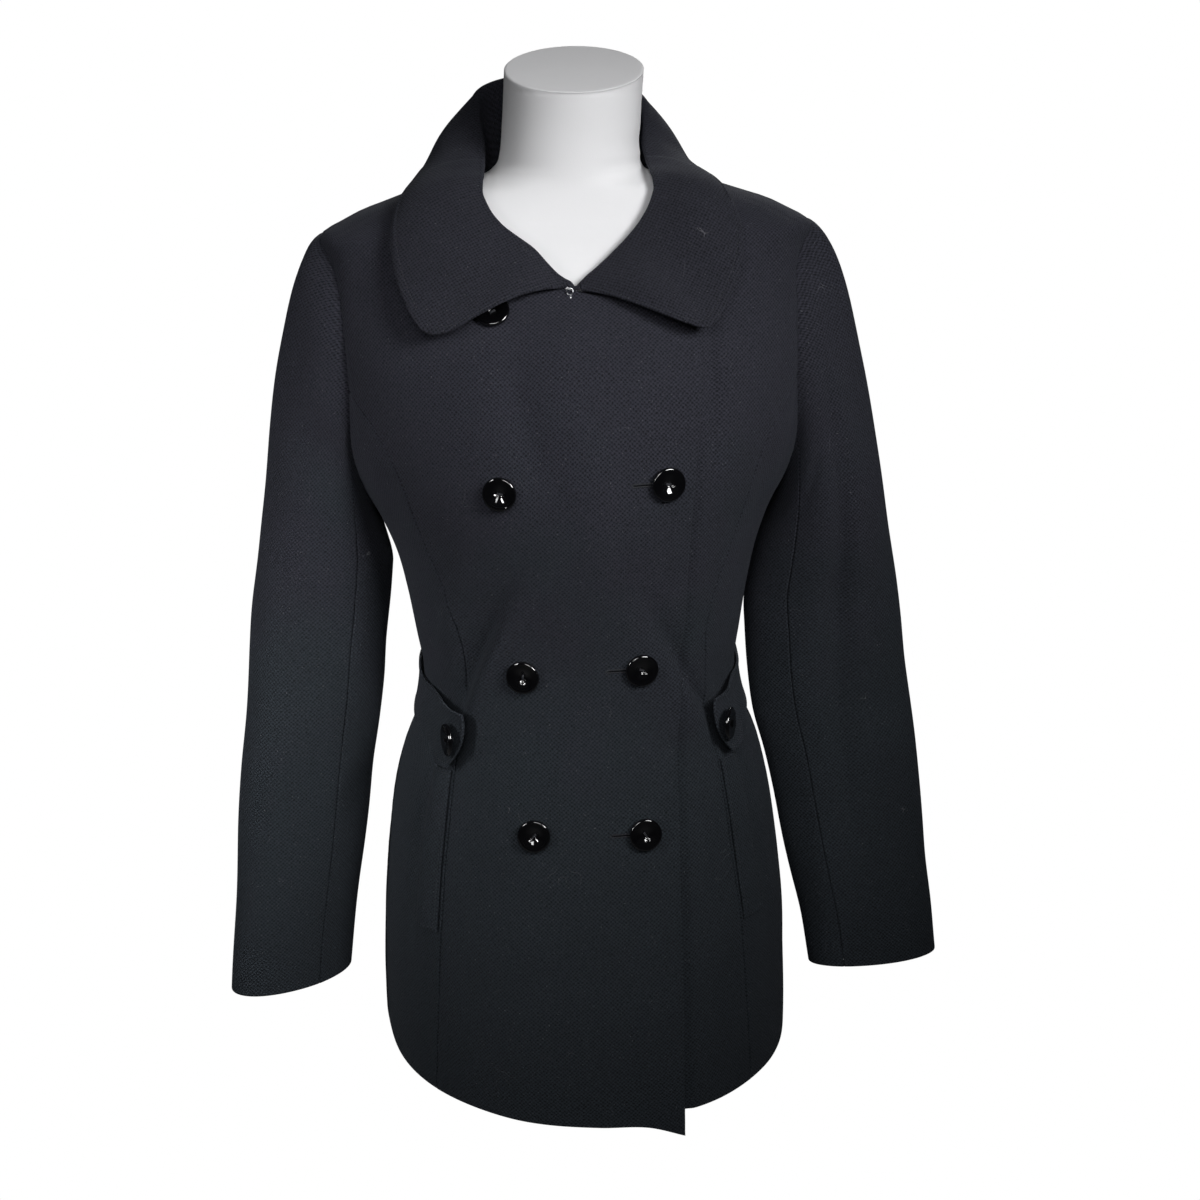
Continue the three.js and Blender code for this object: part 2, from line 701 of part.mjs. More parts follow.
// The collar's visible face across one station: from the foot, over the roll, to the edge.
const LEG_UP = [0, 0.55];
const ARC_STEPS = 4;
const LEG_DOWN = [0.2, 0.42, 0.64, 0.84, 1];
function collarProfile(u, sign) {
  const at = (line, k) => new THREE.Vector3(line.x(k), line.y(k), line.z(k));
  const foot = footPoint(u, sign);
  const edge = at(collarEdge, u);
  const roll = at(collarRoll, u);
  edge.z -= sign * edge.x * collarLean(u);
  roll.z -= sign * roll.x * collarLean(u);
  if (sign > 0) edge.sub(new THREE.Vector3(collarEdge.inset(u), 0, collarEdge.drop(u)));
  const down = edge.clone().sub(roll).normalize();
  const back = foot.clone().sub(roll).normalize();
  const up = down.clone().add(back).normalize().negate();
  const side = down.clone().sub(back).normalize();
  const wanted = collarRoll.radius(u);
  const centre = roll.clone().addScaledVector(up, -wanted);
  const flat = (p) => {
    const d = p.clone().sub(centre);
    return { s: d.dot(side), b: d.dot(up) };
  };
  const from = flat(foot);
  const to = flat(edge);
  const shorter = Math.min(Math.hypot(from.s, from.b), Math.hypot(to.s, to.b));
  const radius = Math.min(wanted, TANGENT_LIMIT * shorter);
  const touch = (p, way) =>
    Math.atan2(p.b, p.s) + way * Math.acos(radius / Math.hypot(p.s, p.b));
  const end = touch(to, 1);
  let start = touch(from, -1);
  while (start < end) start += 2 * Math.PI;
  const place = (s, h) => centre.clone().addScaledVector(side, s).addScaledVector(up, h);
  const onArc = (angle) => place(radius * Math.cos(angle), radius * Math.sin(angle));
  const points = LEG_UP.map((k) => foot.clone().lerp(onArc(start), k));
  for (let i = 0; i <= ARC_STEPS; i++) points.push(onArc(mix(start, end, i / ARC_STEPS)));
  const low = Math.max(u - STATION_STEP, 0);
  const high = Math.min(u + STATION_STEP, 1);
  const along = at(collarEdge, high).sub(at(collarEdge, low));
  along.add(at(collarRoll, high).sub(at(collarRoll, low)));
  if (u === 1) along.set(-1, 0, 0);
  const out = down.clone().cross(along).normalize();
  const bow = collarEdge.bow(u) - (sign > 0 ? TIGHTEN * collarEdge.inset(u) : 0);
  for (const k of LEG_DOWN) {
    const swell = bow * 4 * k * (1 - k);
    points.push(onArc(end).lerp(edge, k).addScaledVector(out, swell));
  }
  for (const p of points) p.x *= sign;
  return points;
}

// Offsets a grid of points along the normals that the grid itself gives.
function offsetGrid(grid, distance) {
  const rows = grid.length - 1;
  const columns = grid[0].length - 1;
  return grid.map((row, i) =>
    row.map((p, j) => {
      const across = grid[i][Math.min(j + 1, columns)].clone().sub(grid[i][Math.max(j - 1, 0)]);
      const up = grid[Math.min(i + 1, rows)][j].clone().sub(grid[Math.max(i - 1, 0)][j]);
      return p.clone().addScaledVector(across.cross(up).normalize(), distance);
    }),
  );
}

const COLLAR_STATIONS = [
  0, 0.04, 0.08, 0.12, 0.16, 0.2, 0.235, 0.265, 0.3, 0.335, 0.37, 0.41, 0.45, 0.49, 0.53, 0.575, 0.62,
  0.67, 0.73, 0.8, 0.87, 0.94,
];
const collarGrid = [
  ...COLLAR_STATIONS.map((u) => collarProfile(u, 1)),
  collarProfile(1, 1),
  ...[...COLLAR_STATIONS].reverse().map((u) => collarProfile(u, -1)),
];
add("collar", wall(collarGrid, offsetGrid(collarGrid, -COLLAR_CLOTH)), materials.collar);

// ---- Waist tabs and pocket welts -------------------------------------------------------------------
const TAB_CLOTH = 2.4;
// The strap's path forward from the side-back seam: out is its face above the plain section.
const tabPath = table(
  "at z wide out",
  [145.6, 363, 38, 3.6],
  [137, 362.5, 38, 3.6],
  [128, 362, 38, 3.6],
  [118, 361, 38.5, 3.6],
  [107, 359, 39, 3.6],
  [97, 357, 39.5, 3.8],
  [88, 354.5, 40, 3.8],
  [79, 351.5, 40.5, 3.4],
  [71, 348.5, 41, 2.4],
  [63.5, 345.5, 41.5, 1.6],
  [57, 342.5, 42, 1.6],
  [51, 339.5, 42.5, 3.2],
  [46, 337.5, 43, 5.6],
  [42.2, 336.5, 42, 8.2],
);
const TAB_COLUMNS = 4;
const TAB_BUTTON_SPIN = 20; // degrees that its two holes are turned by
const TAB_BUTTON_STAND = 1.2; // clearance over the strap's curve, beyond that of a flat seat
// The button's middle on the strap, and the strap just behind and just ahead of it.
const TAB_BUTTON = table("at z wide out", [47.5, 337.7, 0, 5.4], [51, 337.7, 0, 3.2], [44, 337.7, 0, 7.2]);

function tabPoint(sign, row, across) {
  const z = row.z + row.wide * (across - 0.5);
  const theta = sign * rad(row.at);
  const n = normalOf(sectionPoint, theta, z);
  return sectionPoint(theta, z).addScaledVector(n, row.out);
}

function tabGrid(sign) {
  const rows = sign > 0 ? [...tabPath].reverse() : tabPath;
  const steps = Array.from({ length: TAB_COLUMNS + 1 }, (_, i) => i / TAB_COLUMNS);
  return steps.map((across) => rows.map((row) => tabPoint(sign, row, across)));
}

// clear: radians between the welt and the front seam; radius: turns its width into an angle.
const WELT = {
  bottom: 172,
  top: 308,
  wide: 20,
  cloth: 2,
  out: 2.6,
  clear: 0.012,
  radius: 172,
};
const WELT_ROWS = 9;
const WELT_COLUMNS = 3;

function weltGrid(sign) {
  return Array.from({ length: WELT_ROWS + 1 }, (_, i) => {
    const z = mix(WELT.bottom, WELT.top, i / WELT_ROWS);
    const seam = angleAtX(z, frontSeam(z));
    const near = seam + WELT.clear;
    const far = near + WELT.wide / WELT.radius;
    const [a, b] = sign > 0 ? [near, far] : [-far, -near];
    return Array.from({ length: WELT_COLUMNS + 1 }, (_, j) =>
      bodyPoint(mix(a, b, j / WELT_COLUMNS), z, WELT.out),
    );
  });
}

// ---- Buttons ---------------------------------------------------------------------------------------
// Half section of a button: radius and height, round the outside and back along the axis.
const BUTTON_ROUND = 32;
const HOLE_ROUND = 12;
const buttonProfile = table(
  "r h",
  [0, 0],
  [11.2, 0],
  [12.7, 0.7],
  [BUTTON.radius, 2.1],
  [12.9, 3.6],
  [12.2, BUTTON.thick],
  [11.2, 4.3],
  [10.2, 3.5],
  [7.5, 2.9],
  [4, 2.6],
  [0, 2.5],
).map(({ r, h }) => new THREE.Vector2(r, h));

function solidOf(geometry) {
  const bare = new THREE.BufferGeometry();
  bare.setAttribute("position", geometry.getAttribute("position"));
  bare.setIndex(geometry.index);
  const merged = mergeVertices(bare, 1e-4);
  return new wasm.Manifold(
    new wasm.Mesh({
      numProp: 3,
      vertProperties: new Float32Array(merged.attributes.position.array),
      triVerts: new Uint32Array(merged.index.array),
    }),
  );
}

function geometryFrom(solid) {
  const mesh = solid.getMesh();
  const geometry = new THREE.BufferGeometry();
  geometry.setAttribute("position", new THREE.BufferAttribute(mesh.vertProperties, 3));
  geometry.setIndex(new THREE.BufferAttribute(mesh.triVerts, 1));
  geometry.computeVertexNormals();
  return geometry;
}

function buttonGeometry() {
  const disc = new THREE.LatheGeometry(buttonProfile, BUTTON_ROUND);
  const hole = (x) => {
    const long = BUTTON.thick * 3;
    const drill = new THREE.CylinderGeometry(BUTTON.hole, BUTTON.hole, long, HOLE_ROUND);
    return solidOf(drill.translate(x, 0, 0));
  };
  const solid = solidOf(disc).subtract(hole(BUTTON.spread)).subtract(hole(-BUTTON.spread));
  const geometry = geometryFrom(solid);
  return geometry.rotateX(Math.PI / 2);
}
const button = buttonGeometry();

// Stands a button on the cloth: its axis along the normal, turned by `spin` degrees.
function addButton(name, point, normal, spin) {
  const mesh = add(name, button.clone(), materials.button);
  mesh.position.copy(point).addScaledVector(normal, BUTTON.stand);
  mesh.quaternion.setFromUnitVectors(new THREE.Vector3(0, 0, 1), normal);
  mesh.rotateZ(rad(spin));
}

for (const { name, sign } of SIDES) {
  const grid = tabGrid(sign);
  add("tab_" + name, wall(grid, offsetGrid(grid, -TAB_CLOTH)), materials.trim);
  const welt = weltGrid(sign);
  add("pocket_welt_" + name, wall(welt, offsetGrid(welt, -WELT.cloth)), materials.trim);
  const [place, behind, ahead] = TAB_BUTTON.map((row) => tabPoint(sign, row, 0.5));
  const facing = new THREE.Vector3(0, 0, sign).cross(ahead.sub(behind)).normalize();
  place.addScaledVector(facing, TAB_BUTTON_STAND);
  addButton("tab_button_" + name, place, facing, TAB_BUTTON_SPIN);
}

// Buttons down the right front: x and z on the front, and how each is turned.
const FRONT_BUTTONS = table(
  "name x z spin",
  ["1_outer", -61, 668, 25],
  ["2_outer", -59.7, 542.5, -30],
  ["2_inner", 62.6, 545, 10],
  ["3_outer", -47, 393.4, 70],
  ["3_inner", 41.6, 396, -15],
  ["4_outer", -43, 265.4, 35],
  ["4_inner", 41.6, 262.7, -50],
);
for (const { name, x, z, spin } of FRONT_BUTTONS) {
  const surface = (theta, h) => bodyPoint(theta, h, lapLift(theta, h));
  const theta = angleAtX(z, x);
  addButton("front_button_" + name, surface(theta, z), normalOf(surface, theta, z), spin);
}

// ---- Hook and eye at the neck -------------------------------------------------------------------------
const WIRE = 0.55; // radius of the wire
const EYE = { x: -3.2, y: -97.2, z: 683.2, radius: 2.6, tilt: 69.2, wide: 24, round: 8 };
const ring = new THREE.TorusGeometry(EYE.radius, WIRE, EYE.round, EYE.wide);
const eye = add("hook", ring, materials.wire);
eye.position.set(EYE.x, EYE.y, EYE.z);
eye.rotation.set(rad(EYE.tilt), 0, 0);

// ---- Dress form ---------------------------------------------------------------------------------------
const FORM_GAP = 3.1; // height of the coat's outer face above the form along the shoulders
const form = curves(
  table(
    "z half side front back square",
    [0, 122, 4, -86, 92, 2.1],
    [60, 131, 4, -92, 98, 2.1],
    [120, 141, 4, -101, 106, 2.15],
    [170, 148, 4, -109, 112, 2.15],
    [230, 146, 3, -119, 107, 2.15],
    [300, 131, 1, -119, 91, 2.15],
    [365, 115.5, 0, -115, 80, 2.15],
    [440, 127, 0, -124, 86, 2.1],
    [500, 146, 2, -134, 94, 2.1],
    [555, 166, 5, -136, 99, 2.15],
    [610, 171, 8, -127, 102, 2.3],
    [650, 174, 8, -108, 101, 2.5],
    [681, 177, 8, -84, 96, 2.7],
    [700, 179, 8, -72, 90, 2.8],
    [SHOULDER_TIP - 8, 178, 8, -66, 86, 2.8],
    [728 - FORM_GAP, 167, 8, -61, 81, 2.6],
    [735.5 - FORM_GAP, 156, 8, -57, 77.5, 2.45],
    [742.5 - FORM_GAP, 140.5, 8, -54, 72.5, 2.35],
    [748 - FORM_GAP, 126, 8, -52, 69, 2.3],
    [753 - FORM_GAP, 110, 8, -50.5, 65.5, 2.2],
    [757 - FORM_GAP, 95, 8, -49.5, 63, 2.15],
    [760.5 - FORM_GAP, 77, 8, -49, 61, 2.1],
    [761, 65, 8, -48.8, 59.5, 2.05],
    [767, 57.5, 7.5, -48.8, 58, 2],
    [777, 54.5, 4, -49, 57, 2],
    [800, 53.6, 2, -50, 55, 2],
    [842, 53.6, 0, -53, 53, 2],
  ),
  "z",
);
// The neck: lean is the slope of its cap, x and shift how far it stands to one side, and how
// much more for each millimetre up. foot and footTall are where that begins.
const NECK = {
  start: 777,
  top: 842,
  lean: 0.279,
  shift: 0.075,
  x: 4,
  foot: 755,
  footTall: 22,
  ease: 16.25,
};
const FORM_LEVELS = [
  0, 60, 120, 170, 200, 230, 265, 300, 335, 365, 400, 440, 470, 500, 530, 555, 585, 612, 636, 655,
  668, 681, 691, 700, 707, 712, 717, 721, 728 - FORM_GAP, 735.5 - FORM_GAP, 742.5 - FORM_GAP,
  748 - FORM_GAP, 753 - FORM_GAP, 757 - FORM_GAP, 760.5 - FORM_GAP, 761, 763.5, 767, 777, 790, 805,
  822, 839, 842,
];
const FORM_ROUND = 56;
const CAP_EDGE = 0.965; // the cap's rim is rounded in by this factor

function formPoint(theta, z, shrink = 1) {
  const s = Math.sin(theta);
  const c = Math.cos(theta);
  const square = form.square(z);
  const r = (Math.abs(s) ** square + Math.abs(c) ** square) ** (-1 / square);
  const side = form.side(z);
  const depth = c > 0 ? side - form.front(z) : form.back(z) - side;
  const t = Math.max(0, (z - NECK.start) / (NECK.top - NECK.start));
  const aside = NECK.x * smooth((z - NECK.foot) / NECK.footTall);
  const rise = Math.max(0, z - NECK.start);
  const slant = NECK.shift * rise * Math.min(1, rise / NECK.ease);
  const x = form.half(z) * s * r * shrink + aside + slant;
  const y = side * shrink - depth * c * r * shrink;
  return new THREE.Vector3(x, y, z + NECK.lean * y * smooth(t));
}

function formGeometry() {
  const rings = FORM_LEVELS.map((z, i) =>
    Array.from({ length: FORM_ROUND }, (_, j) =>
      formPoint((j / FORM_ROUND) * 2 * Math.PI, z, i === FORM_LEVELS.length - 1 ? CAP_EDGE : 1),
    ),
  );
  const points = rings.flat();
  const index = [];
  const at = (i, j) => i * FORM_ROUND + (j % FORM_ROUND);
  for (let i = 0; i < rings.length - 1; i++)
    for (let j = 0; j < FORM_ROUND; j++) {
      index.push(at(i, j), at(i, j + 1), at(i + 1, j + 1));
      index.push(at(i, j), at(i + 1, j + 1), at(i + 1, j));
    }
  const base = points.push(new THREE.Vector3(0, form.side(0), 0)) - 1;
  const crown = points.push(formPoint(0, NECK.top, 0)) - 1;
  const last = rings.length - 1;
  for (let j = 0; j < FORM_ROUND; j++) {
    index.push(base, at(0, j + 1), at(0, j));
    index.push(crown, at(last, j), at(last, j + 1));
  }
  return geometryOf(points, index);
}
add("dress_form", formGeometry(), materials.form);

export default group;
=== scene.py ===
"""Short double-breasted coat on a dress form: fine cloth, fittings, form, stage and camera.

Lengths are worked out in millimetres, in the same frame as the solids, and written in metres.
theta is the angle round the body: 0 at centre front, positive to the wearer's left, 180 at centre back.
"""

import math

import bpy
import numpy as np
from mathutils import Matrix, Vector


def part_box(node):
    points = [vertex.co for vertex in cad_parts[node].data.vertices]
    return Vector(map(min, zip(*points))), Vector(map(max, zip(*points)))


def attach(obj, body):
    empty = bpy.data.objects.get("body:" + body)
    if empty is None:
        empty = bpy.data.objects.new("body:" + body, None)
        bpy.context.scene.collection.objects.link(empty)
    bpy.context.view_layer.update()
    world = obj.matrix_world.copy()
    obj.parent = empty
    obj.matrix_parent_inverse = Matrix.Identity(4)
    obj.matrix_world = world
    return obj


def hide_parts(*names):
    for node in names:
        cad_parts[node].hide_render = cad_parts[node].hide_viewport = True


bl_info = {
    "name": "Double-Breasted Coat",
    "version": (1, 0, 0),
    "blender": (4, 5, 0),
    "location": "View3D > Sidebar > Coat",
    "description": "Builds a short double-breasted coat, its buttons, its dress form and a studio stage",
    "category": "Add Mesh",
}

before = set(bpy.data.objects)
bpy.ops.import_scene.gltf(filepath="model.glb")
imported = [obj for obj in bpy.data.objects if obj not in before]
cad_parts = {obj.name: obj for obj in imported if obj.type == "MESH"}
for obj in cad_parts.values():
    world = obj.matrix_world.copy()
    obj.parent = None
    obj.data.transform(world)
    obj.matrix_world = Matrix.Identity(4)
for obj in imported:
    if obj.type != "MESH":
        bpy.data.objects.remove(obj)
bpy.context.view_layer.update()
MM = 0.001
PI = math.pi

# ---- Tables and curves -------------------------------------------------------------------------


def table(columns, *rows):
    """Columns of numbers by name."""
    return {name: np.array([row[i] for row in rows], float) for i, name in enumerate(columns.split())}


def hermite(start, leave, end, arrive, t):
    """From start to end along a cubic with the given slopes at its two ends."""
    t2, t3 = t * t, t * t * t
    eased = 3 * t2 - 2 * t3
    return start * (1 - eased) + leave * (t3 - 2 * t2 + t) + end * eased + arrive * (t3 - t2)


def curve(x, y):
    """A smooth curve through the points, flat beyond its ends."""
    x = np.asarray(x, float)
    y = np.asarray(y, float)
    step = np.diff(x)
    slope = np.diff(y) / step
    tangent = np.empty(len(x))
    tangent[0], tangent[-1] = slope[0], slope[-1]
    tangent[1:-1] = (slope[:-1] * step[1:] + slope[1:] * step[:-1]) / (step[:-1] + step[1:])

    def read(at):
        t = np.clip(at, x[0], x[-1])
        i = np.clip(np.searchsorted(x, t, side="left") - 1, 0, len(x) - 2)
        leave, arrive = tangent[i] * step[i], tangent[i + 1] * step[i]
        return hermite(y[i], leave, y[i + 1], arrive, (t - x[i]) / step[i])

    return read


def curves(rows, key):
    """A curve of each named column over the key column."""
    return {name: curve(rows[key], column) for name, column in rows.items() if name != key}


def smooth(t):
    t = np.clip(t, 0, 1)
    return t * t * (3 - 2 * t)


def mix(a, b, t):
    return a + (b - a) * t


def bell(t):
    """1 in the middle, fading to nothing on both sides."""
    return np.exp(-t * t)


def unit(v):
    return v / np.maximum(np.linalg.norm(v, axis=-1, keepdims=True), 1e-12)


# ---- Sizes, in millimetres ---------------------------------------------------------------------
CLOTH = 2.0
COLLAR_CLOTH = 2.6
TAB_CLOTH = 2.4
FAR = 99.0  # further than any edge that matters
HPS, SHOULDER_TIP, NECK_PIT = 762.0, 720.0, 681.0
HEM, HEM_FADE = 27.0, 120.0
ARMHOLE = {"y": 8.0, "z": 610.0, "rise": 110.0, "front": 68.0, "back": 48.0}
UNDERARM = ARMHOLE["z"] - ARMHOLE["rise"]
UNDERLAP = 50.0
# The right front lies this far off the left one, eased in from its seam and out above the neck pit.
LAP = {"lift": 3.6, "ease": 4.0, "reach": 130.0, "fade": 30.0}
# The left front sinks a little beside the lap's edge, and the press fades out near the neck.
PRESS = {"deep": 2.4, "wide": 4.2, "beside": 2.5, "edge_top": 650.0, "from": 630.0, "fade": 25.0}

body = curves(
    table(
        "z half side front back squareF squareB",
        [0, 175, 88, -148.5, 153, 2.4, 2.9],
        [40, 175, 82, -148, 152, 2.4, 2.9],
        [100, 173.5, 70, -146, 149, 2.4, 2.7],
        [165, 169, 48, -142, 140, 2.4, 2.5],
        [210, 163.5, 30, -138.5, 129, 2.35, 2.4],
        [260, 156, 14, -134.5, 114, 2.3, 2.35],
        [300, 145.5, 5, -130.5, 102, 2.3, 2.3],
        [335, 132.5, 1, -127.5, 94, 2.35, 2.3],
        [367, 127.5, 0, -126.5, 91, 2.4, 2.3],
        [400, 131.5, 0, -128, 92, 2.35, 2.3],
        [440, 138, 0, -135, 97, 2.25, 2.3],
        [475, 147, 0, -142, 102, 2.15, 2.3],
        [500, 158, 3, -146.5, 105, 2.1, 2.3],
        [525, 172, 6, -149, 108, 2.1, 2.3],
        [555, 184, 8, -148.5, 110, 2.15, 2.3],
        [600, 188, 8, -141, 113, 2.3, 2.45],
        [640, 189, 8, -125, 112.5, 2.5, 2.65],
        [681, 189.5, 8, -92, 106, 2.8, 2.85],
        [705, 190, 8, -76, 98, 3.0, 2.9],
        [720, 190, 8, -67, 91, 2.9, 2.8],
        [728, 175, 8, -63, 86, 2.75, 2.7],
        [735.5, 160, 8, -60, 82, 2.6, 2.6],
        [742.5, 141, 8, -57, 77, 2.5, 2.5],
        [748, 126, 8, -55, 73, 2.4, 2.4],
        [753, 110, 8, -53, 70, 2.35, 2.3],
        [757, 95, 8, -51.5, 67.5, 2.3, 2.25],
        [762, 70, 8, -50, 64, 2.2, 2.2],
    ),
    "z",
)

# Soft ridges (+) and troughs (-): at and wide in degrees, z and tall in millimetres, depth outward,
# lean in degrees for each 100 mm up. The solids have the built folds, the fine cloth has them all.
BUILT_FOLDS = table(
    "at z wide tall depth lean",
    [-37, 356, 8, 44, 4.2, 8],
    [37, 352, 8, 46, 4.6, -8],
    [-57, 346, 15, 42, -5.0, 0],
    [57, 344, 15, 42, -5.2, 0],
    [-24, 420, 8, 60, -2.0, 16],
    [24, 338, 8, 34, -2.4, -22],
    [58, 690, 14, 26, -3.0, 0],
    [-120, 378, 16, 40, -2.5, 0],
    [122, 372, 15, 44, -2.8, 0],
    [160, 330, 10, 70, 2.0, 4],
    [-158, 322, 11, 80, 2.2, -3],
)
HAND_FOLDS = table(
    "at z wide tall depth lean",
    [-36, 420, 4.6, 50, -6.4, 23],
    [-34.5, 414, 2.6, 46, -5.6, 23],
    [-29.4, 408, 3.4, 52, 6.6, 24],
    [-45, 440, 4.4, 42, 3.4, 20],
    [-12.5, 600, 4, 60, -4.2, -5],
    [1.5, 560, 6, 100, 2.6, -3],
    [31, 612, 2.0, 52, -5.2, -2],
    [-55.4, 242, 2.6, 84, -3.2, 1],
    [55.4, 244, 2.6, 80, -1.6, -1],
    [42.5, 360, 3.2, 22, -4.4, -40],
    [36, 372, 3.6, 26, 2.2, -38],
    [31, 404, 4.6, 44, -4.2, -22],
    [33, 394, 2.4, 34, -2.8, -26],
    [68, 694, 4, 19, -2.2, 0],
    [62.6, 652, 2.4, 58, -2.8, 0],
    [-62.6, 655, 2.0, 52, -1.8, 0],
    [45.5, 694, 3.4, 24, -2.6, -11],
    [-67, 690, 5, 24, -1.3, 4],
    [-50, 560, 6, 40, -1.5, 20],
    [51, 548, 5, 46, -1.6, -18],
    [-20, 190, 8, 90, 0.8, 2],
    [33, 150, 7, 80, -0.9, -3],
    [-48, 120, 6, 70, -0.9, 3],
    [10, 470, 9, 70, -1.0, 4],
    [-100, 330, 6, 46, -1.5, 6],
    [103, 318, 7, 40, -1.7, -8],
    [-128, 250, 7, 90, 1.4, -3],
    [133, 236, 6, 80, 1.1, 4],
    [-140, 470, 7, 60, -1.4, -12],
    [144, 488, 8, 52, -1.1, 14],
    [168, 420, 6, 60, -1.2, 6],
    [-172, 436, 5, 50, -0.9, -5],
    [150, 660, 10, 34, -1.0, 10],
    [-146, 668, 9, 30, -1.3, -12],
    [175, 130, 7, 80, 0.9, 0],
)


def turn(angle):
    return (angle + 180.0) % 360.0 - 180.0


def fold_height(folds, degrees, place, lean_over=100.0):
    """Height of the folds at an angle and a place up the cloth."""
    total = np.zeros(np.broadcast(degrees, place).shape)
    for at, middle, wide, tall, depth, lean in zip(*folds.values()):
        up = place - middle
        across = turn(degrees - at - lean * up / lean_over) / wide
        total = total + depth * bell(across) * bell(up / tall)
    return total


def built_folds(theta, z):
    return fold_height(BUILT_FOLDS, np.degrees(theta), z)


def hand_folds(theta, z):
    return fold_height(HAND_FOLDS, np.degrees(theta), z)


def oval(shape, theta, z, square):
    """A level ring of a shape: x, its side's place from front to back, and the depth from there."""
    s, c = np.sin(theta), np.cos(theta)
    r = (np.abs(s) ** square + np.abs(c) ** square) ** (-1 / square)
    side = shape["side"](z)
    depth = np.where(c > 0, side - shape["front"](z), shape["back"](z) - side)
    return shape["half"](z) * s * r, side, depth * c * r


def section(theta, z):
    """The coat's plain outer face."""
    square = np.where(np.cos(theta) > 0, body["squareF"](z), body["squareB"](z))
    x, side, depth = oval(body, theta, z, square)
    return np.stack([x, side - depth, z + 0 * theta], -1)


def normal_of(surface, u, v, du=0.01, dv=0.4):
    """Outward direction of a surface, from its slopes across and up."""
    across = surface(u + du, v) - surface(u - du, v)
    up = surface(u, v + dv) - surface(u, v - dv)
    return unit(np.cross(across, up))


def angle_at_x(z, x, back=False):
    """Angle at which the body's level line has this x."""
    square = body["squareB" if back else "squareF"](z)
    v = np.minimum(np.abs(x) / body["half"](z), 1) ** square
    angle = np.arctan2(v ** (1 / square), (1 - v) ** (1 / square))
    return np.sign(x) * (PI - angle if back else angle)


def angle_at_y(z, y, back):
    """Angle at which the body's level line has this y, on the wearer's left."""
    square = body["squareB" if back else "squareF"](z)
    side = body["side"](z)
    depth = body["back"](z) - side if back else side - body["front"](z)
    v = np.minimum(np.abs(y - side) / depth, 1) ** square
    angle = np.arctan2((1 - v) ** (1 / square), v ** (1 / square))
    return PI - angle if back else angle


def armhole_angle(z, back):
    """Angle of the armhole's edge at a height, in front or at the back."""
    up = np.minimum(np.abs(z - ARMHOLE["z"]) / ARMHOLE["rise"], 1)
    reach = np.sqrt(1 - up * up)
    y = ARMHOLE["y"] + (ARMHOLE["back"] if back else -ARMHOLE["front"]) * reach
    return angle_at_y(z, y, back)


FRONT_SEAM = table(
    "z x",
    [0, 132], [100, 126], [172, 121], [260, 111], [316, 103], [380, 96], [430, 98],
    [458, 106], [481, 115], [507, 124], [550, 139], [589, 159], [620, 184],
)
BACK_SEAM = table(
    "z x",
    [0, 112], [172, 100], [260, 88], [367, 72], [440, 80], [520, 104], [580, 136], [640, 188],
)
LAP_EDGE = table(
    "z x",
    [0, 68.5], [120, 69.5], [247, 69], [362, 70.5], [433, 76], [523, 82], [595, 89],
    [640, 90.5], [656, 88], [664, 78], [672, 48], [681, 0],
)
NECKLINE = table("z x", [681, 0], [690, -20], [705, -41], [722, -54], [742, -64], [762, -70])
front_seam, back_seam, neck_line = (curve(*line.values()) for line in (FRONT_SEAM, BACK_SEAM, NECKLINE))
edge_levels = np.append(LAP_EDGE["z"], NECKLINE["z"][1:])
right_front_edge, left_front_edge = (
    curve(edge_levels, np.append(edge, NECKLINE["x"][1:]))
    for edge in (LAP_EDGE["x"], np.minimum(LAP_EDGE["x"], UNDERLAP))
)
HEM_ROUND = table(
    "at z",
    [-180, 27], [-130, 31], [-90, 34], [-45, 29], [0, 25], [30, 22.5], [50, 24], [70, 22],
    [90, 21], [130, 24], [180, 27],
)
HEM_DIP = table("at drop", [-48, 0], [-35, 0.5], [-20, 3], [0, 6.5], [14, 9.5], [24, 23])
hem_round, hem_dip = (curve(*line.values()) for line in (HEM_ROUND, HEM_DIP))


def hem_overlap(degrees):
    """The right front's hem, whose corner hangs lower."""
    return hem_round(degrees) - hem_dip(degrees)


HALVINGS = 40


def meeting_height(seam, back):
    """Where a princess seam runs into the armhole."""
    low, high = UNDERARM, ARMHOLE["z"] + ARMHOLE["rise"] / 2
    for _ in range(HALVINGS):
        z = (low + high) / 2
        seam_at, hole_at = angle_at_x(z, seam(z), back), armhole_angle(z, back)
        if (seam_at > hole_at) if back else (seam_at < hole_at):
            low = z
        else:
            high = z
    return low


FRONT_MEET = meeting_height(front_seam, False)
BACK_MEET = meeting_height(back_seam, True)


def front_outer(z):
    """The fronts' outer border: the front seam, then the armhole, then the shoulder."""
    low = np.where(z < FRONT_MEET, angle_at_x(z, front_seam(z)), armhole_angle(z, False))
    return np.where(z > SHOULDER_TIP, PI / 2, low)


def side_front_outer(z):
    return np.where(z < UNDERARM, PI / 2, armhole_angle(z, False))


def side_back_inner(z):
    return np.where(z < UNDERARM, PI / 2, armhole_angle(z, True))


def back_inner(z):
    """The backs' outer border, by the back seam in the same way."""
    low = np.where(z < BACK_MEET, angle_at_x(z, back_seam(z), True), armhole_angle(z, True))
    return np.where(z > SHOULDER_TIP, PI / 2, low)


def lap_height(z):
    """The lap's full lift at a height."""
    return LAP["lift"] * (1 - smooth((z - NECK_PIT) / LAP["fade"]))


def lap_lift(theta, z):
    """How far the right front stands off where it lies on the left one."""
    x = section(theta, z)[..., 0]
    seam = np.minimum(front_seam(np.minimum(z, FRONT_MEET)), LAP["reach"])
    over = smooth((x + seam) / (seam - UNDERLAP - LAP["ease"]))
    return over * lap_height(z)


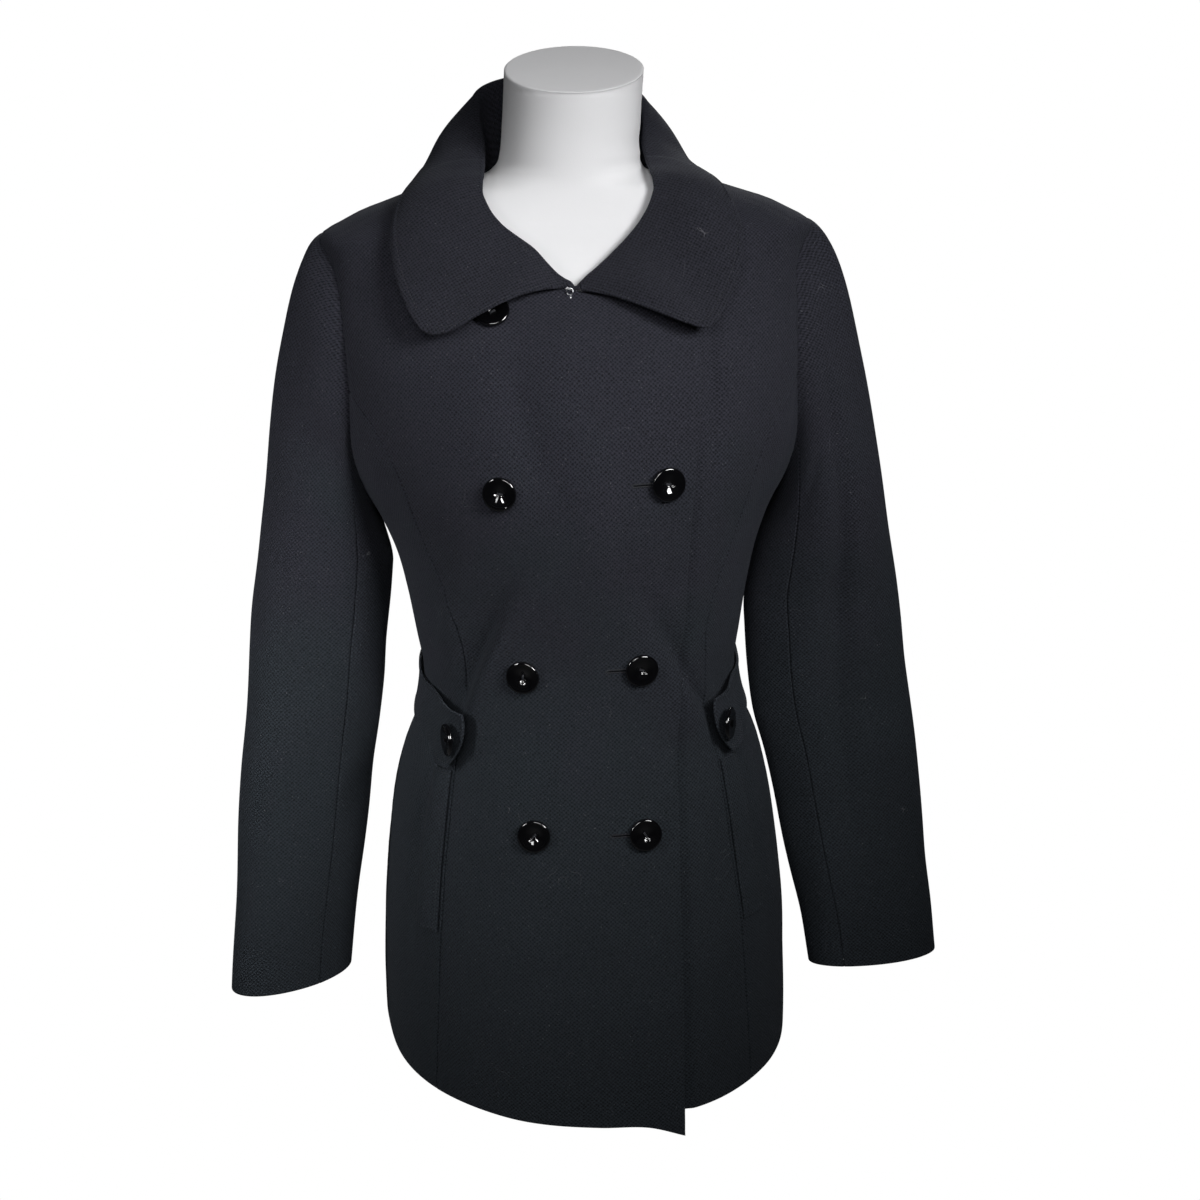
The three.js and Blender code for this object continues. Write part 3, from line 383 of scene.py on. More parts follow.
def lap_press(theta, z):
    """How far the left front sinks beside the lap's edge."""
    edge = right_front_edge(np.minimum(z, PRESS["edge_top"]))
    beside = section(theta, z)[..., 0] - edge - PRESS["beside"]
    return -PRESS["deep"] * bell(beside / PRESS["wide"]) * (1 - smooth((z - PRESS["from"]) / PRESS["fade"]))


# ---- Grids -------------------------------------------------------------------------------------
EDGE_STEPS = np.array([0.0, 0.1, 0.32, 0.7, 1.2, 1.9, 3.0])
ENDS_SHARE = 4.2  # a strip shorter than this many end runs has them closer together
FREE_ROUND, EDGE_BAND = 1.1, 0.14
SEAM_ROUND, SEAM_PRESS = 1.3, 1.8
TUCK = -0.02  # sewn pieces meet with this gap
PUCKER = {"deep": 0.16, "wide": 5.0, "pitch": 13.0, "drift": 23.0}


def spread(length, cells):
    """Distances along a strip: close together at both ends, even between them."""
    ends = EDGE_STEPS * np.minimum(1, length / (ENDS_SHARE * EDGE_STEPS[-1]))
    middle = np.linspace(ends[-1], length - ends[-1], cells + 1)[1:-1]
    return np.concatenate([ends, middle, length - ends[::-1]])


def lengths(points, axis):
    """Distance from the first point along one axis of a grid."""
    d = np.linalg.norm(np.diff(points, axis=axis), axis=-1)
    zero = np.zeros_like(np.take(d, [0], axis=axis))
    return np.concatenate([zero, np.cumsum(d, axis=axis)], axis=axis)


def grid_normals(p):
    across = np.gradient(p, axis=1)
    up = np.gradient(p, axis=0)
    return unit(np.cross(across, up))


def edge_distance(p, sides):
    """Distance of each grid point to the nearest of the named borders."""
    along, up = lengths(p, 1), lengths(p, 0)
    near = {"l": along, "r": along[:, -1:] - along, "b": up, "t": up[-1:] - up}
    return np.min([near[side] for side in sides], axis=0) if sides else FAR + 0 * along


def wall(p, thick, seams=""):
    """Outer and inner points of a cloth wall: free edges are rounded over, seams only pressed."""
    n = grid_normals(p)
    free = np.clip(edge_distance(p, [side for side in "lrbt" if side not in seams]) / FREE_ROUND, 0, 1)
    sewn = np.clip(edge_distance(p, seams) / SEAM_ROUND, 0, 1)
    drop = (thick / 2 - EDGE_BAND) * (1 - np.sqrt(1 - (1 - free) ** 2))
    press = SEAM_PRESS * (1 - sewn) ** 2
    drop = np.maximum(drop, press)
    return p - n * drop[..., None], p - n * (thick - np.where(drop > press, drop, 0))[..., None]


def ripple(p):
    """Slow unevenness of hanging cloth, the same wherever two pieces meet."""
    x, y, z = p[..., 0], p[..., 1], p[..., 2]
    waves = (
        (0.020, 0.052, 0.031, 0.4, 0.30),
        (-0.047, 0.018, 0.043, 2.1, 0.22),
        (0.071, -0.039, 0.024, 4.0, 0.16),
        (0.016, 0.083, -0.067, 1.3, 0.13),
        (0.101, 0.044, 0.083, 5.2, 0.08),
    )
    return sum(a * np.sin(kx * x + ky * y + kz * z + shift) for kx, ky, kz, shift, a in waves)


def pucker(distance, run, phase):
    """Small even gathers along a seam."""
    waves = np.sin(run * 2 * PI / PUCKER["pitch"] + phase + np.sin(run / PUCKER["drift"]))
    return PUCKER["deep"] * np.exp(-distance / PUCKER["wide"]) * waves


def to_edge(run):
    """Distance to the nearer end of each row, from the distances along it."""
    return np.minimum(run, run[:, -1:] - run)


# ---- Meshes ------------------------------------------------------------------------------------


def finish(obj, slot_name, *materials):
    """Give a piece its materials and its body."""
    for coat in materials:
        obj.data.materials.append(coat)
    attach(obj, "root")
    return obj


def mesh_object(name, points, faces, uv=None):
    """A new object at the origin, its points given in millimetres."""
    mesh = bpy.data.meshes.new(name)
    mesh.from_pydata((np.asarray(points) * MM).tolist(), [], faces)
    mesh.polygons.foreach_set("use_smooth", np.ones(len(mesh.polygons), bool))
    if uv is not None:
        layer = mesh.uv_layers.new(name="Cut")
        loops = np.empty(len(mesh.loops), np.int32)
        mesh.loops.foreach_get("vertex_index", loops)
        layer.data.foreach_set("uv", (np.asarray(uv)[loops] * MM).astype(np.float32).ravel())
    mesh.update()
    obj = bpy.data.objects.new(name, mesh)
    bpy.context.scene.collection.objects.link(obj)
    return obj


def shell_object(name, outer, inner, uv):
    """A closed wall of cloth between two grids: rows go up, columns round with rising theta."""
    rows, columns = outer.shape[:2]
    count = rows * columns
    index = np.arange(count).reshape(rows, columns)
    a, b = index[:-1, :-1].ravel(), index[:-1, 1:].ravel()
    c, d = index[1:, 1:].ravel(), index[1:, :-1].ravel()
    quads = [np.stack([a, b, c, d], 1), np.stack([a, d, c, b], 1) + count]
    for line, way in ((index[0], 1), (index[-1], -1), (index[:, 0], -1), (index[:, -1], 1)):
        line = line[::way]
        p, q = line[:-1], line[1:]
        quads.append(np.stack([p, p + count, q + count, q], 1))
    points = np.concatenate([outer.reshape(-1, 3), inner.reshape(-1, 3)])
    faces = np.concatenate(quads).tolist()
    both = np.concatenate([uv.reshape(-1, 2), uv.reshape(-1, 2)])
    return mesh_object(name, points, faces, both)


def ring_faces(rows, around, flip=False):
    """Quads of a tube whose points go round in rows, with its points' numbers and those one on."""
    index = np.arange(rows * around).reshape(rows, around)
    following = np.roll(index, -1, axis=1)
    corners = [index[:-1], index[1:], following[1:], following[:-1]]
    if flip:
        corners = [corners[0], *corners[:0:-1]]
    return np.stack(corners, -1).reshape(-1, 4).tolist(), index, following


def joined(parts):
    """Points and faces of several shapes as one."""
    faces, count = [], 0
    for points, part_faces in parts:
        faces += [[k + count for k in face] for face in part_faces]
        count += len(points)
    return np.concatenate([points for points, _ in parts]), faces


def area_of(p):
    """Area of a grid of points, in square millimetres."""
    d1, d2 = p[1:, 1:] - p[:-1, :-1], p[1:, :-1] - p[:-1, 1:]
    return 0.5 * np.linalg.norm(np.cross(d1, d2), axis=-1).sum()


LEAST_AREA, SHY = 0.32, 0.9995  # a sheet's least share of its flat size, and a rounding margin


def declare(obj, node, grid, slot_name, material):
    """Give a piece of cloth its materials and body and hide its solid; its area is worked out and rounded
    but not used.
    """
    along, up = lengths(grid, 1)[:, -1].max(), lengths(grid, 0)[-1].max()
    area = max(min(area_of(grid), along * up), LEAST_AREA * along * up)
    finish(obj, slot_name, material)
    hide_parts(node)
    round(area * MM * MM * SHY, 6)


# ---- Body panels -------------------------------------------------------------------------------
ROW_STEP = 3.6
PROBES = 81
TUCK_RADIUS = 150.0  # turns a tuck past a panel's edge into an angle


def panel_levels(top):
    """Heights of a panel's rows: close at the hem and the top, even between them."""
    return HEM + spread(top - HEM, int((top - HEM) / ROW_STEP))


def body_surface(theta, z, lift):
    """The body's cloth with its folds, raised by the lift."""
    plain = section(theta, z)
    n = normal_of(section, theta, z)
    height = built_folds(theta, z) + hand_folds(theta, z)
    return plain + n * (height + ripple(plain) + lift(theta, z))[..., None]


def no_lift(theta, z):
    return 0 * theta


def panel_grid(top, first, last, cells, hem=hem_round, lift=no_lift, grain=None, phase=0.0):
    """Points of one panel, and its UV in millimetres along and up the grain line."""
    levels = panel_levels(top)
    thetas, zs = [], []
    for level in levels:
        a, b = float(first(level)), float(last(level))
        fine = np.linspace(a, b, PROBES)
        run = lengths(section(fine, np.full(PROBES, level)), 0)
        total = run[-1]
        wanted = TUCK + spread(total - 2 * TUCK, cells)
        theta = np.interp(wanted, run, fine) + (wanted - np.clip(wanted, 0, total)) / TUCK_RADIUS
        fade = max(0.0, (HEM_FADE - level) / (HEM_FADE - HEM)) ** 2
        thetas.append(theta)
        zs.append(level + (hem(np.degrees(theta)) - HEM) * fade)
    theta, z = np.array(thetas), np.array(zs)
    p = body_surface(theta, z, lift)
    p = p + grid_normals(p) * pucker(to_edge(lengths(p, 1)), z, phase)[..., None]
    zero = theta[0].mean() if grain is None else grain
    return p, grain_map(section, theta, z, zero)


GRAIN_COLUMNS, GRAIN_ROWS = 61, 301


def grain_map(surface, angle, level, zero, top=1e9):
    """Places on the flat cut: along the level line from the zero angle, and up the grain."""
    low, high = min(angle.min(), zero), max(angle.max(), zero)
    angles = np.linspace(low, high, GRAIN_COLUMNS)
    levels = np.linspace(level.min(), level.max(), GRAIN_ROWS)
    grid = surface(angles[None] + 0 * levels[:, None], levels[:, None] + 0 * angles[None])

    def read(values, a, at):
        column, row = (a - low) / (angles[1] - low), (at - levels[0]) / (levels[1] - levels[0])
        j = np.clip(column.astype(int), 0, GRAIN_COLUMNS - 2)
        i = np.clip(row.astype(int), 0, GRAIN_ROWS - 2)
        s, t = column - j, row - i
        under = mix(values[i, j], values[i, j + 1], s)
        return mix(under, mix(values[i + 1, j], values[i + 1, j + 1], s), t)

    across, up, capped = lengths(grid, 1), lengths(grid, 0), np.minimum(level, top)
    centre = read(across, zero + 0 * angle, capped)
    return np.stack([read(across, angle, capped) - centre, read(up, angle, level)], -1)


def mirrored(edge):
    """The same border on the wearer's right."""
    return lambda z: -edge(z)


def cloth_piece(node, p, uv, thick, held, rests_on, slot_name, material, seams=""):
    """One cut piece as a closed wall; its seams are the borders sewn to others: left, right, top."""
    obj = shell_object("cloth_" + node, *wall(p, thick, seams), uv)
    declare(obj, node, p, slot_name, material)


# ---- Sleeves -----------------------------------------------------------------------------------
sleeve = curves(
    table(
        "z outer innerRight innerLeft y girth",
        [100, 298, 200.5, 187, -20, 268],
        [142, 294, 195.5, 181, -17, 278],
        [179, 290, 190, 173, -14, 288],
        [216, 287, 183, 165, -12, 296],
        [252, 283.5, 177, 158, -10, 304],
        [288, 279.5, 171.5, 151, -8, 312],
        [320, 275.5, 166, 143, -6, 318],
        [356, 271, 160.5, 138.5, -4, 324],
        [390, 267.5, 156.5, 137, -2, 330],
        [420, 263.5, 152, 136, 0, 334],
        [455, 258, 147.5, 142.7, 1, 338],
    ),
    "z",
)
SLEEVE_TOP = 455.0
HEAD_START = 0.6
# How the sleeve's head leaves the armhole and arrives in the tube: at the underarm, and at the top.
HEAD = {"leave": (24, 100), "out": (0.1, 1), "down": (-1, -0.28), "arrive": (4.2, 26)}
HEAD_RISE, HEAD_FORWARD, HEAD_BACKWARD, HEAD_STEP, HEAD_FADE = 1.25, 0.3, 0.24, 10.0, 0.05
SLEEVE_RUN, SLEEVE_RADIUS = 620.0, 50.0
RING_PROBES, RUN_PROBES = 61, 321
TURNED_IN = (0.8, 2.4)
FRONT_SLEEVE_SEAM, BACK_SLEEVE_SEAM = math.radians(120), math.radians(245)
SIDES = {
    "right": {"sign": -1, "cuff": 104.5, "twist": -0.4, "inner": "innerRight"},
    "left": {"sign": 1, "cuff": 98.5, "twist": 0.12, "inner": "innerLeft"},
}


def ring_point(side, phi, z):
    """The sleeve's level ring: phi is 0 outward and 90 degrees in front."""
    inner = sleeve[side["inner"]](z)
    wide = (sleeve["outer"](z) - inner) / 2
    around = sleeve["girth"](z) / (2 * PI)
    deep = np.sqrt(2 * around * around - wide * wide)
    out = wide * np.cos(phi)
    twist = side["twist"] * np.minimum(1, (SLEEVE_TOP - z) / (SLEEVE_TOP - side["cuff"]))
    y = sleeve["y"](z) - deep * np.sin(phi) + twist * out
    return np.stack([inner + wide + out, y, z + 0 * phi], -1)


def armhole_point(side, phi):
    """The armhole's edge on the body, with the body's own folds."""
    s, c = np.sin(phi), np.cos(phi)
    y = ARMHOLE["y"] - np.where(s > 0, ARMHOLE["front"], ARMHOLE["back"]) * s
    z = ARMHOLE["z"] + ARMHOLE["rise"] * c
    theta = np.where(s < 0, armhole_angle(z, True), armhole_angle(z, False))
    x = section(theta, z)[..., 0]
    worn = built_folds(side["sign"] * theta, z) + hand_folds(side["sign"] * theta, z)
    return np.stack([x, y, z], -1) + normal_of(section, theta, z) * worn[..., None]


def head_point(side, phi, t):
    """From the armhole (0) down into the sleeve's tube (1)."""
    top = np.full_like(phi, SLEEVE_TOP)
    end, below = ring_point(side, phi, top), ring_point(side, phi, top - HEAD_STEP)
    up = (1 + np.cos(phi)) / 2
    forward = np.where(np.mod(phi, 2 * PI) < PI, HEAD_FORWARD, HEAD_BACKWARD)
    way = [mix(*HEAD["out"], smooth(up * HEAD_RISE)), -np.sin(phi) * forward, mix(*HEAD["down"], up)]
    leave = np.stack(way, -1) * mix(*HEAD["leave"], up)[..., None]
    arrive = (below - end) * mix(*HEAD["arrive"], up)[..., None]
    return hermite(armhole_point(side, phi), leave, end, arrive, t[..., None])


def sleeve_point(side, phi, v):
    """v runs from the cuff (0) to the armhole (1)."""
    low = ring_point(side, phi, mix(side["cuff"], SLEEVE_TOP, np.minimum(v / HEAD_START, 1)))
    high = head_point(side, phi, np.clip(1 - (v - HEAD_START) / (1 - HEAD_START), 0, 1))
    p = np.where((v < HEAD_START)[..., None], low, high)
    return p * np.array([side["sign"], 1, 1])


# Folds of the sleeves: at and wide round the ring in degrees, v and tall along it, depth outward.
SLEEVE_FOLDS = {
    "right": table(
        "at v wide tall depth lean",
        [70, 0.80, 12, 0.05, -3.2, 260],
        [52, 0.75, 11, 0.05, -1.6, 300],
        [100, 0.86, 10, 0.045, -1.4, 220],
        [60, 0.53, 16, 0.06, -1.5, 160],
        [84, 0.46, 14, 0.05, -1.8, -170],
        [20, 0.50, 20, 0.05, -1.0, 200],
        [96, 0.30, 12, 0.10, -0.9, 40],
        [200, 0.52, 16, 0.05, -2.2, 120],
        [-60, 0.55, 18, 0.05, -1.8, 200],
        [-40, 0.78, 14, 0.06, -1.6, -200],
        [-20, 0.30, 16, 0.12, 0.9, 30],
    ),
    "left": table(
        "at v wide tall depth lean",
        [80, 0.58, 9, 0.22, -6.4, -26],
        [92, 0.32, 9, 0.16, -5.0, -30],
        [62, 0.50, 14, 0.16, 1.2, -20],
        [76, 0.82, 10, 0.05, -1.6, -220],
        [104, 0.78, 10, 0.05, -1.8, -240],
        [50, 0.86, 12, 0.04, -1.0, -200],
        [190, 0.55, 16, 0.05, -2.0, -120],
        [-58, 0.52, 18, 0.05, -1.9, -190],
        [-36, 0.80, 14, 0.05, -1.4, 210],
        [-24, 0.36, 14, 0.12, 1.0, -30],
    ),
}


def sleeve_grid(name, first, last, cells, rows, phase):
    """Points of one sleeve piece, and its UV; its last rows turn in under the body."""
    side = SIDES[name]
    gap = TUCK / SLEEVE_RADIUS
    a, b = (last - gap, first + gap) if side["sign"] > 0 else (first + gap, last - gap)
    fine = np.linspace(0, 1, RUN_PROBES)
    middle = (a + b) / 2
    run = lengths(sleeve_point(side, np.full(len(fine), middle), fine), 0)
    v = np.interp(spread(run[-1], rows), run, fine)
    phis = np.linspace(a, b, RING_PROBES)
    grid = []
    for level in v:
        along = lengths(sleeve_point(side, phis, np.full(len(phis), level)), 0)
        grid.append(np.interp(spread(along[-1], cells), along, phis))
    phi = np.array(grid)
    vv = v[:, None] + 0 * phi
    p = sleeve_point(side, phi, vv)
    fade = smooth((1 - vv) / HEAD_FADE)
    height = fold_height(SLEEVE_FOLDS[name], np.degrees(phi), vv, 1.0) * fade
    height += ripple(p) * (0.4 + 0.6 * fade) + pucker(to_edge(lengths(p, 1)), vv * SLEEVE_RUN, phase)
    p = p + grid_normals(p) * height[..., None]
    hidden = [p[-1:] + np.array([-side["sign"] * inward, 0, 0]) for inward in TURNED_IN]
    uv = grain_map(lambda angle, level: sleeve_point(side, angle, level), phi, vv, middle, HEAD_START)
    return np.concatenate([p, *hidden]), np.concatenate([uv, *(uv[-1:] + [0, w] for w in TURNED_IN)])


# ---- Collar ------------------------------------------------------------------------------------
collar_edge = curves(
    table(
        "u x y z bow inset drop",
        [0, 5, -95.5, 687.5, 0, 0, 3.5],
        [0.06, 28, -106, 685, 1.5, 0, 4],
        [0.12, 52, -116, 677, 3, 0, 1.5],
        [0.18, 76, -123, 666, 3.5, 0, -1.5],
        [0.235, 97, -124, 656.5, 4, 2, -4.5],
        [0.27, 108.5, -121, 656, 4, 7, -5.5],
        [0.3, 116, -116, 660.5, 4.5, 10, -4],
        [0.33, 122, -107, 669, 5, 10.5, -1],
        [0.37, 129, -93, 684.3, 6, 7.5, 0],
        [0.42, 134, -78, 703, 8, 5, 0],
        [0.48, 136, -62, 724.5, 9.5, 6.5, -0.5],
        [0.54, 131, -34, 744.5, 9.5, 9, -4.5],
        [0.6, 120, 12, 755, 8, 9, -3.5],
        [0.68, 110, 48, 757, 9, 6.5, -1],
        [0.78, 92, 84, 747, 8.5, 0, 0],
        [0.89, 52, 112, 741, 6, 0, 0],
        [1, 0, 122, 739, 4, 0, 0],
    ),
    "u",
)
collar_roll = curves(
    table(
        "u x y z radius",
        [0, 3.5, -90, 687.5, 3.0],
        [0.06, 10, -87, 693.5, 3.1],
        [0.12, 19, -83.5, 701, 3.2],
        [0.2, 31, -78.5, 711, 3.3],
        [0.28, 43, -73, 721.3, 3.4],
        [0.36, 54, -67, 733, 3.4],
        [0.42, 61, -60, 743.5, 3.4],
        [0.46, 64, -53, 751.3, 3.4],
        [0.5, 64, -42, 760, 3.4],
        [0.56, 62.5, -10, 769.5, 3.4],
        [0.62, 62.5, 18, 784, 4],
        [0.7, 67, 46, 805.5, 5],
        [0.78, 63, 65, 819.5, 6],
        [0.88, 38, 80, 829, 6.5],
        [1, 0, 87, 832, 6.5],
    ),
    "u",
)
FOOT = table(
    "u z angle",
    [0, 681.6, 0], [0.06, 685, 0], [0.12, 690, 0], [0.2, 700, 0], [0.28, 712, 0], [0.36, 727, 0],
    [0.42, 741, 0], [0.46, 749, 0], [0.5, 756, 0], [0.54, 760.8, 0], [0.575, 762, 90],
    [0.62, 762, 102], [0.7, 762, 121], [0.78, 762, 139], [0.88, 762, 158], [1, 762, 180],
)
FRONT_FOOT = 0.575
foot_height = curve(FOOT["u"][:11], FOOT["z"][:11])
foot_angle = curve(FOOT["u"][10:], FOOT["angle"][10:])
LEAN = table(
    "u drop", [0, 0], [0.12, 0.06], [0.18, 0.05], [0.27, 0.018], [0.6, 0.01], [0.7, 0.04], [1, 0.06]
)
collar_lean = curve(*LEAN.values())
COLLAR_STAND = 0.5
FRONT_GAP = 1.6
TIGHTEN = 0.4
ROLL_SHARE = 0.9  # the roll's radius is at most this much of its way to the foot or the edge
EASE_STEP = 0.02
# Small shifts: of the left leaf's edge, of both edges, and of the right roll.
FLAP_OFF = {"by": (0.0, -4.4, 0.0), "at": 0.2, "wide": 0.1}
EDGE_OFF = {"by": (0.0, -6.4, 2.6), "at": 0.38, "wide": 0.13}
ROLL_OFF = {"by": (-4.6, 0.0, 0.0), "at": 0.23, "wide": 0.1}


def shifted(off, u):
    """A shift, strongest at its own place along the collar."""
    return np.array(off["by"]) * bell((u - off["at"]) / off["wide"])


def foot_point(u, sign):
    """Where the collar stands on the neckline."""
    if u < FRONT_FOOT:
        z = np.float64(foot_height(u))
        theta = np.float64(angle_at_x(z, -neck_line(z)))
    else:
        z, theta = np.float64(HPS), np.radians(foot_angle(u))
    lift = lap_height(z) if sign < 0 else 0.0
    foot = section(theta, z) + normal_of(section, theta, z) * (COLLAR_STAND + lift)
    foot[0] = max(foot[0], FRONT_GAP if u < FRONT_FOOT else 0.0)
    return foot


def collar_station(u, sign, up_steps, arc_steps, down_steps):
    """The collar's visible face across one station: foot, roll, leaf, edge."""

    def at(line, k):
        return np.array([float(line[axis](k)) for axis in "xyz"])

    foot, edge, roll = foot_point(u, sign), at(collar_edge, u), at(collar_roll, u)
    lean, inset = float(collar_lean(u)), float(collar_edge["inset"](u))
    edge[2] -= sign * edge[0] * lean
    roll[2] -= sign * roll[0] * lean
    if sign > 0:
        edge -= np.array([inset, 0, float(collar_edge["drop"](u))])
        edge += shifted(FLAP_OFF, u)
    else:
        roll += shifted(ROLL_OFF, u)
    edge += shifted(EDGE_OFF, u)
    down, back = unit(edge - roll), unit(foot - roll)
    up, side = -unit(down + back), unit(down - back)
    wanted = float(collar_roll["radius"](u))
    centre = roll - up * wanted
    starts, ends = ((line @ side, line @ up) for line in (foot - centre, edge - centre))
    radius = min(wanted, ROLL_SHARE * math.hypot(*starts), ROLL_SHARE * math.hypot(*ends))
    b = math.atan2(ends[1], ends[0]) + math.acos(radius / math.hypot(*ends))
    a = math.atan2(starts[1], starts[0]) - math.acos(radius / math.hypot(*starts))
    while a < b:
        a += 2 * PI

    def on_arc(angle):
        return centre + side * radius * math.cos(angle) + up * radius * math.sin(angle)

    low, high = max(u - EASE_STEP, 0), min(u + EASE_STEP, 1)
    run = sum(at(line, high) - at(line, low) for line in (collar_edge, collar_roll))
    out = unit(np.cross(down, run if u < 1 else np.array([-1.0, 0, 0])))
    bow = float(collar_edge["bow"](u)) - (TIGHTEN * inset if sign > 0 else 0)
    points = [mix(foot, on_arc(a), k) for k in up_steps]
    points += [on_arc(mix(a, b, i / arc_steps)) for i in range(arc_steps + 1)]
    points += [mix(on_arc(b), edge, k) + out * bow * 4 * k * (1 - k) for k in down_steps]
    return np.array(points) * np.array([sign, 1, 1])


# Ridges and dents of the collar: along it (under 0 on the wearer's right), down the leaf, and outward.
COLLAR_FOLDS = table(
    "u down wide tall depth",
    [-0.20, 0.45, 0.05, 0.22, -1.2],
    [-0.34, 0.55, 0.05, 0.3, 1.3],
    [-0.46, 0.5, 0.05, 0.3, -1.2],
    [0.18, 0.5, 0.05, 0.24, 1.0],
    [0.30, 0.6, 0.045, 0.3, -1.3],
    [0.44, 0.5, 0.06, 0.3, 1.2],
    [0.62, 0.6, 0.05, 0.3, -1.2],
    [-0.64, 0.6, 0.05, 0.3, -1.0],
    [0.82, 0.6, 0.06, 0.3, 0.9],
    [-0.84, 0.5, 0.05, 0.3, 0.9],
)
COLLAR_TURN = 6.5  # topstitching from the edge
COLLAR_RIDGE = {"high": 0.55, "from_stitch": 2.0, "wide": 2.2}
COLLAR_GROOVE = {"deep": 0.5, "wide": 0.8}
STATIONS, TRACKS, CROWN = 300, 151, 0.999
ARC_STEPS, LEAF_CELLS, LEAF_LONG = 10, 25, 78.0
STAND_STEPS = np.array([0, 0.012, 0.04, 0.1, 0.3, 0.55, 0.8])
FROM_EDGE = np.array([9.0, 7.4, 6.9, 6.5, 6.1, 5.6, 4.2, 3.0, 2.0, 1.3, 0.8, 0.4, 0.12, 0.0])


def laid_flat(roll, edge):
    """The collar's leaf opened out on a table from its middle: flat places of its two long edges."""

    def corner(a, b, from_a, from_b, way):
        gap = math.dist(a, b)
        along = (gap * gap + from_a * from_a - from_b * from_b) / (2 * gap)
        off = math.sqrt(max(from_a * from_a - along * along, 0))
        ahead = (b - a) / gap
        return a + ahead * along - way * off * np.array([-ahead[1], ahead[0]])

    middle = len(roll) // 2
    rolls, edges = np.zeros((len(roll), 2)), np.zeros((len(roll), 2))
    edges[middle, 1] = math.dist(roll[middle], edge[middle])
    for way in (1, -1):
        i = middle
        while 0 <= i + way < len(roll):
            k = i + way
            to_edge = math.dist(roll[i], edge[k]), math.dist(edge[i], edge[k])
            edges[k] = corner(rolls[i], edges[i], *to_edge, way)
            to_roll = math.dist(roll[i], roll[k]), math.dist(edge[k], roll[k])
            rolls[k] = corner(rolls[i], edges[k], *to_roll, way)
            i = k
    return rolls, edges


def collar_grid():
    """The collar's points, its UV, and each point's distance to the turned edge and share of the leaf."""
    tail = 1 - FROM_EDGE / LEAF_LONG
    down_steps = np.concatenate([np.linspace(0, tail[0], LEAF_CELLS + 1)[1:-1], tail])
    tracks = np.linspace(0, 1, TRACKS)
    half = len(EDGE_STEPS) + STATIONS // 2 - 1
    stations, places = {}, {}
    for sign in (1, -1):
        track = np.array([collar_station(u, sign, [0], 2, [0.5, 1.0])[-2] for u in tracks])
        run = lengths(track, 0)
        u = np.interp(spread(run[-1] * 2, STATIONS)[:half], run, tracks)
        places[sign] = u[u < CROWN]
        stations[sign] = [collar_station(k, sign, STAND_STEPS, ARC_STEPS, down_steps) for k in places[sign]]
    crown = collar_station(1.0, 1, STAND_STEPS, ARC_STEPS, down_steps)
    p = np.array([*stations[1], crown, *stations[-1][::-1]])
    u = np.concatenate([places[1], [1.0], -places[-1][::-1]])[:, None]
    start = len(STAND_STEPS) + ARC_STEPS
    across, ends = lengths(p, 1), lengths(p, 0)
    leaf = (across - across[:, start : start + 1]) / (across[:, -1:] - across[:, start : start + 1])
    height = np.zeros(leaf.shape)
    for at, down, wide, tall, depth in zip(*COLLAR_FOLDS.values()):
        height += depth * bell((u - at) / wide) * bell((leaf - down) / tall)
    from_end = np.minimum(ends, ends[-1:] - ends)
    turned = np.minimum(across[:, -1:] - across, np.where(leaf > 0.2, from_end, FAR))
    beyond = turned - COLLAR_TURN
    height += COLLAR_RIDGE["high"] * bell((beyond + COLLAR_RIDGE["from_stitch"]) / COLLAR_RIDGE["wide"])
    height -= COLLAR_GROOVE["deep"] * bell(beyond / COLLAR_GROOVE["wide"])
    height += 0.5 * ripple(p) * smooth(leaf * 3)
    keep = smooth(from_end / 6) * smooth(np.clip(leaf, 0, 1) * 6)
    p = p + grid_normals(p) * (height * keep)[..., None]
    rolls, edges = laid_flat(p[:, start], p[:, -1])
    return p, mix(rolls[:, None], edges[:, None], leaf[..., None]), turned, leaf


# ---- Tabs and welts ----------------------------------------------------------------------------
TAB_PATH = table(
    "at z wide out back",
    [145.6, 362.5, 38, 3.6, 0],
    [137, 362, 38, 3.5, 0],
    [128, 361, 38, 3.4, 0],
    [118, 359.5, 38, 3.3, 0],
    [107, 357, 38, 3.3, 0],
    [97, 354, 38.5, 3.3, 0],
    [88, 351, 39, 3.3, 0],
    [79, 348.5, 40, 3.1, 0],
    [71, 346.5, 41.5, 2.4, 0],
    [63.5, 344.5, 43, 1.4, 0],
    [57, 341.5, 45, 3.0, 0.15],
    [51, 339, 46.5, 7.4, 0.4],
    [45, 337, 47.5, 12.8, 0.7],
    [38.6, 336.4, 48, 17.2, 1],
)
TAB_ROWS = len(TAB_PATH["at"]) - 1
tab_line = {name: curve(np.arange(TAB_ROWS + 1.0), column) for name, column in TAB_PATH.items()}
TAB_TURN = 3.2
TAB_ROUND = {"top": 4.6, "bottom": 1.2}
# By side: how much shorter the left tab is, in degrees, and how far its end springs out; with the
# row where each starts and the rows that it takes.
TAB_SHORT, SHORT_FROM, SHORT_OVER = {1: 4.8, -1: 0.0}, 4, 9
TAB_SPRING, SPRING_FROM, SPRING_OVER = {1: 0.6, -1: 1.0}, 9.5, 3


def tab_point(sign, k, across):
    """A tab's face, by row along it (0 at the back seam) and share of its width."""
    z = tab_line["z"](k) + tab_line["wide"](k) * (across - 0.5)
    rounded = TAB_ROUND["top"] * (1 - across) ** 3 + TAB_ROUND["bottom"] * across**6
    short = TAB_SHORT[sign] * smooth((k - SHORT_FROM) / SHORT_OVER)
    theta = sign * np.radians(tab_line["at"](k) + tab_line["back"](k) * rounded + short)
    out = tab_line["out"](k) * mix(1, TAB_SPRING[sign], smooth((k - SPRING_FROM) / SPRING_OVER))
    return section(theta, z) + normal_of(section, theta, z) * (out + 0 * z)[..., None]


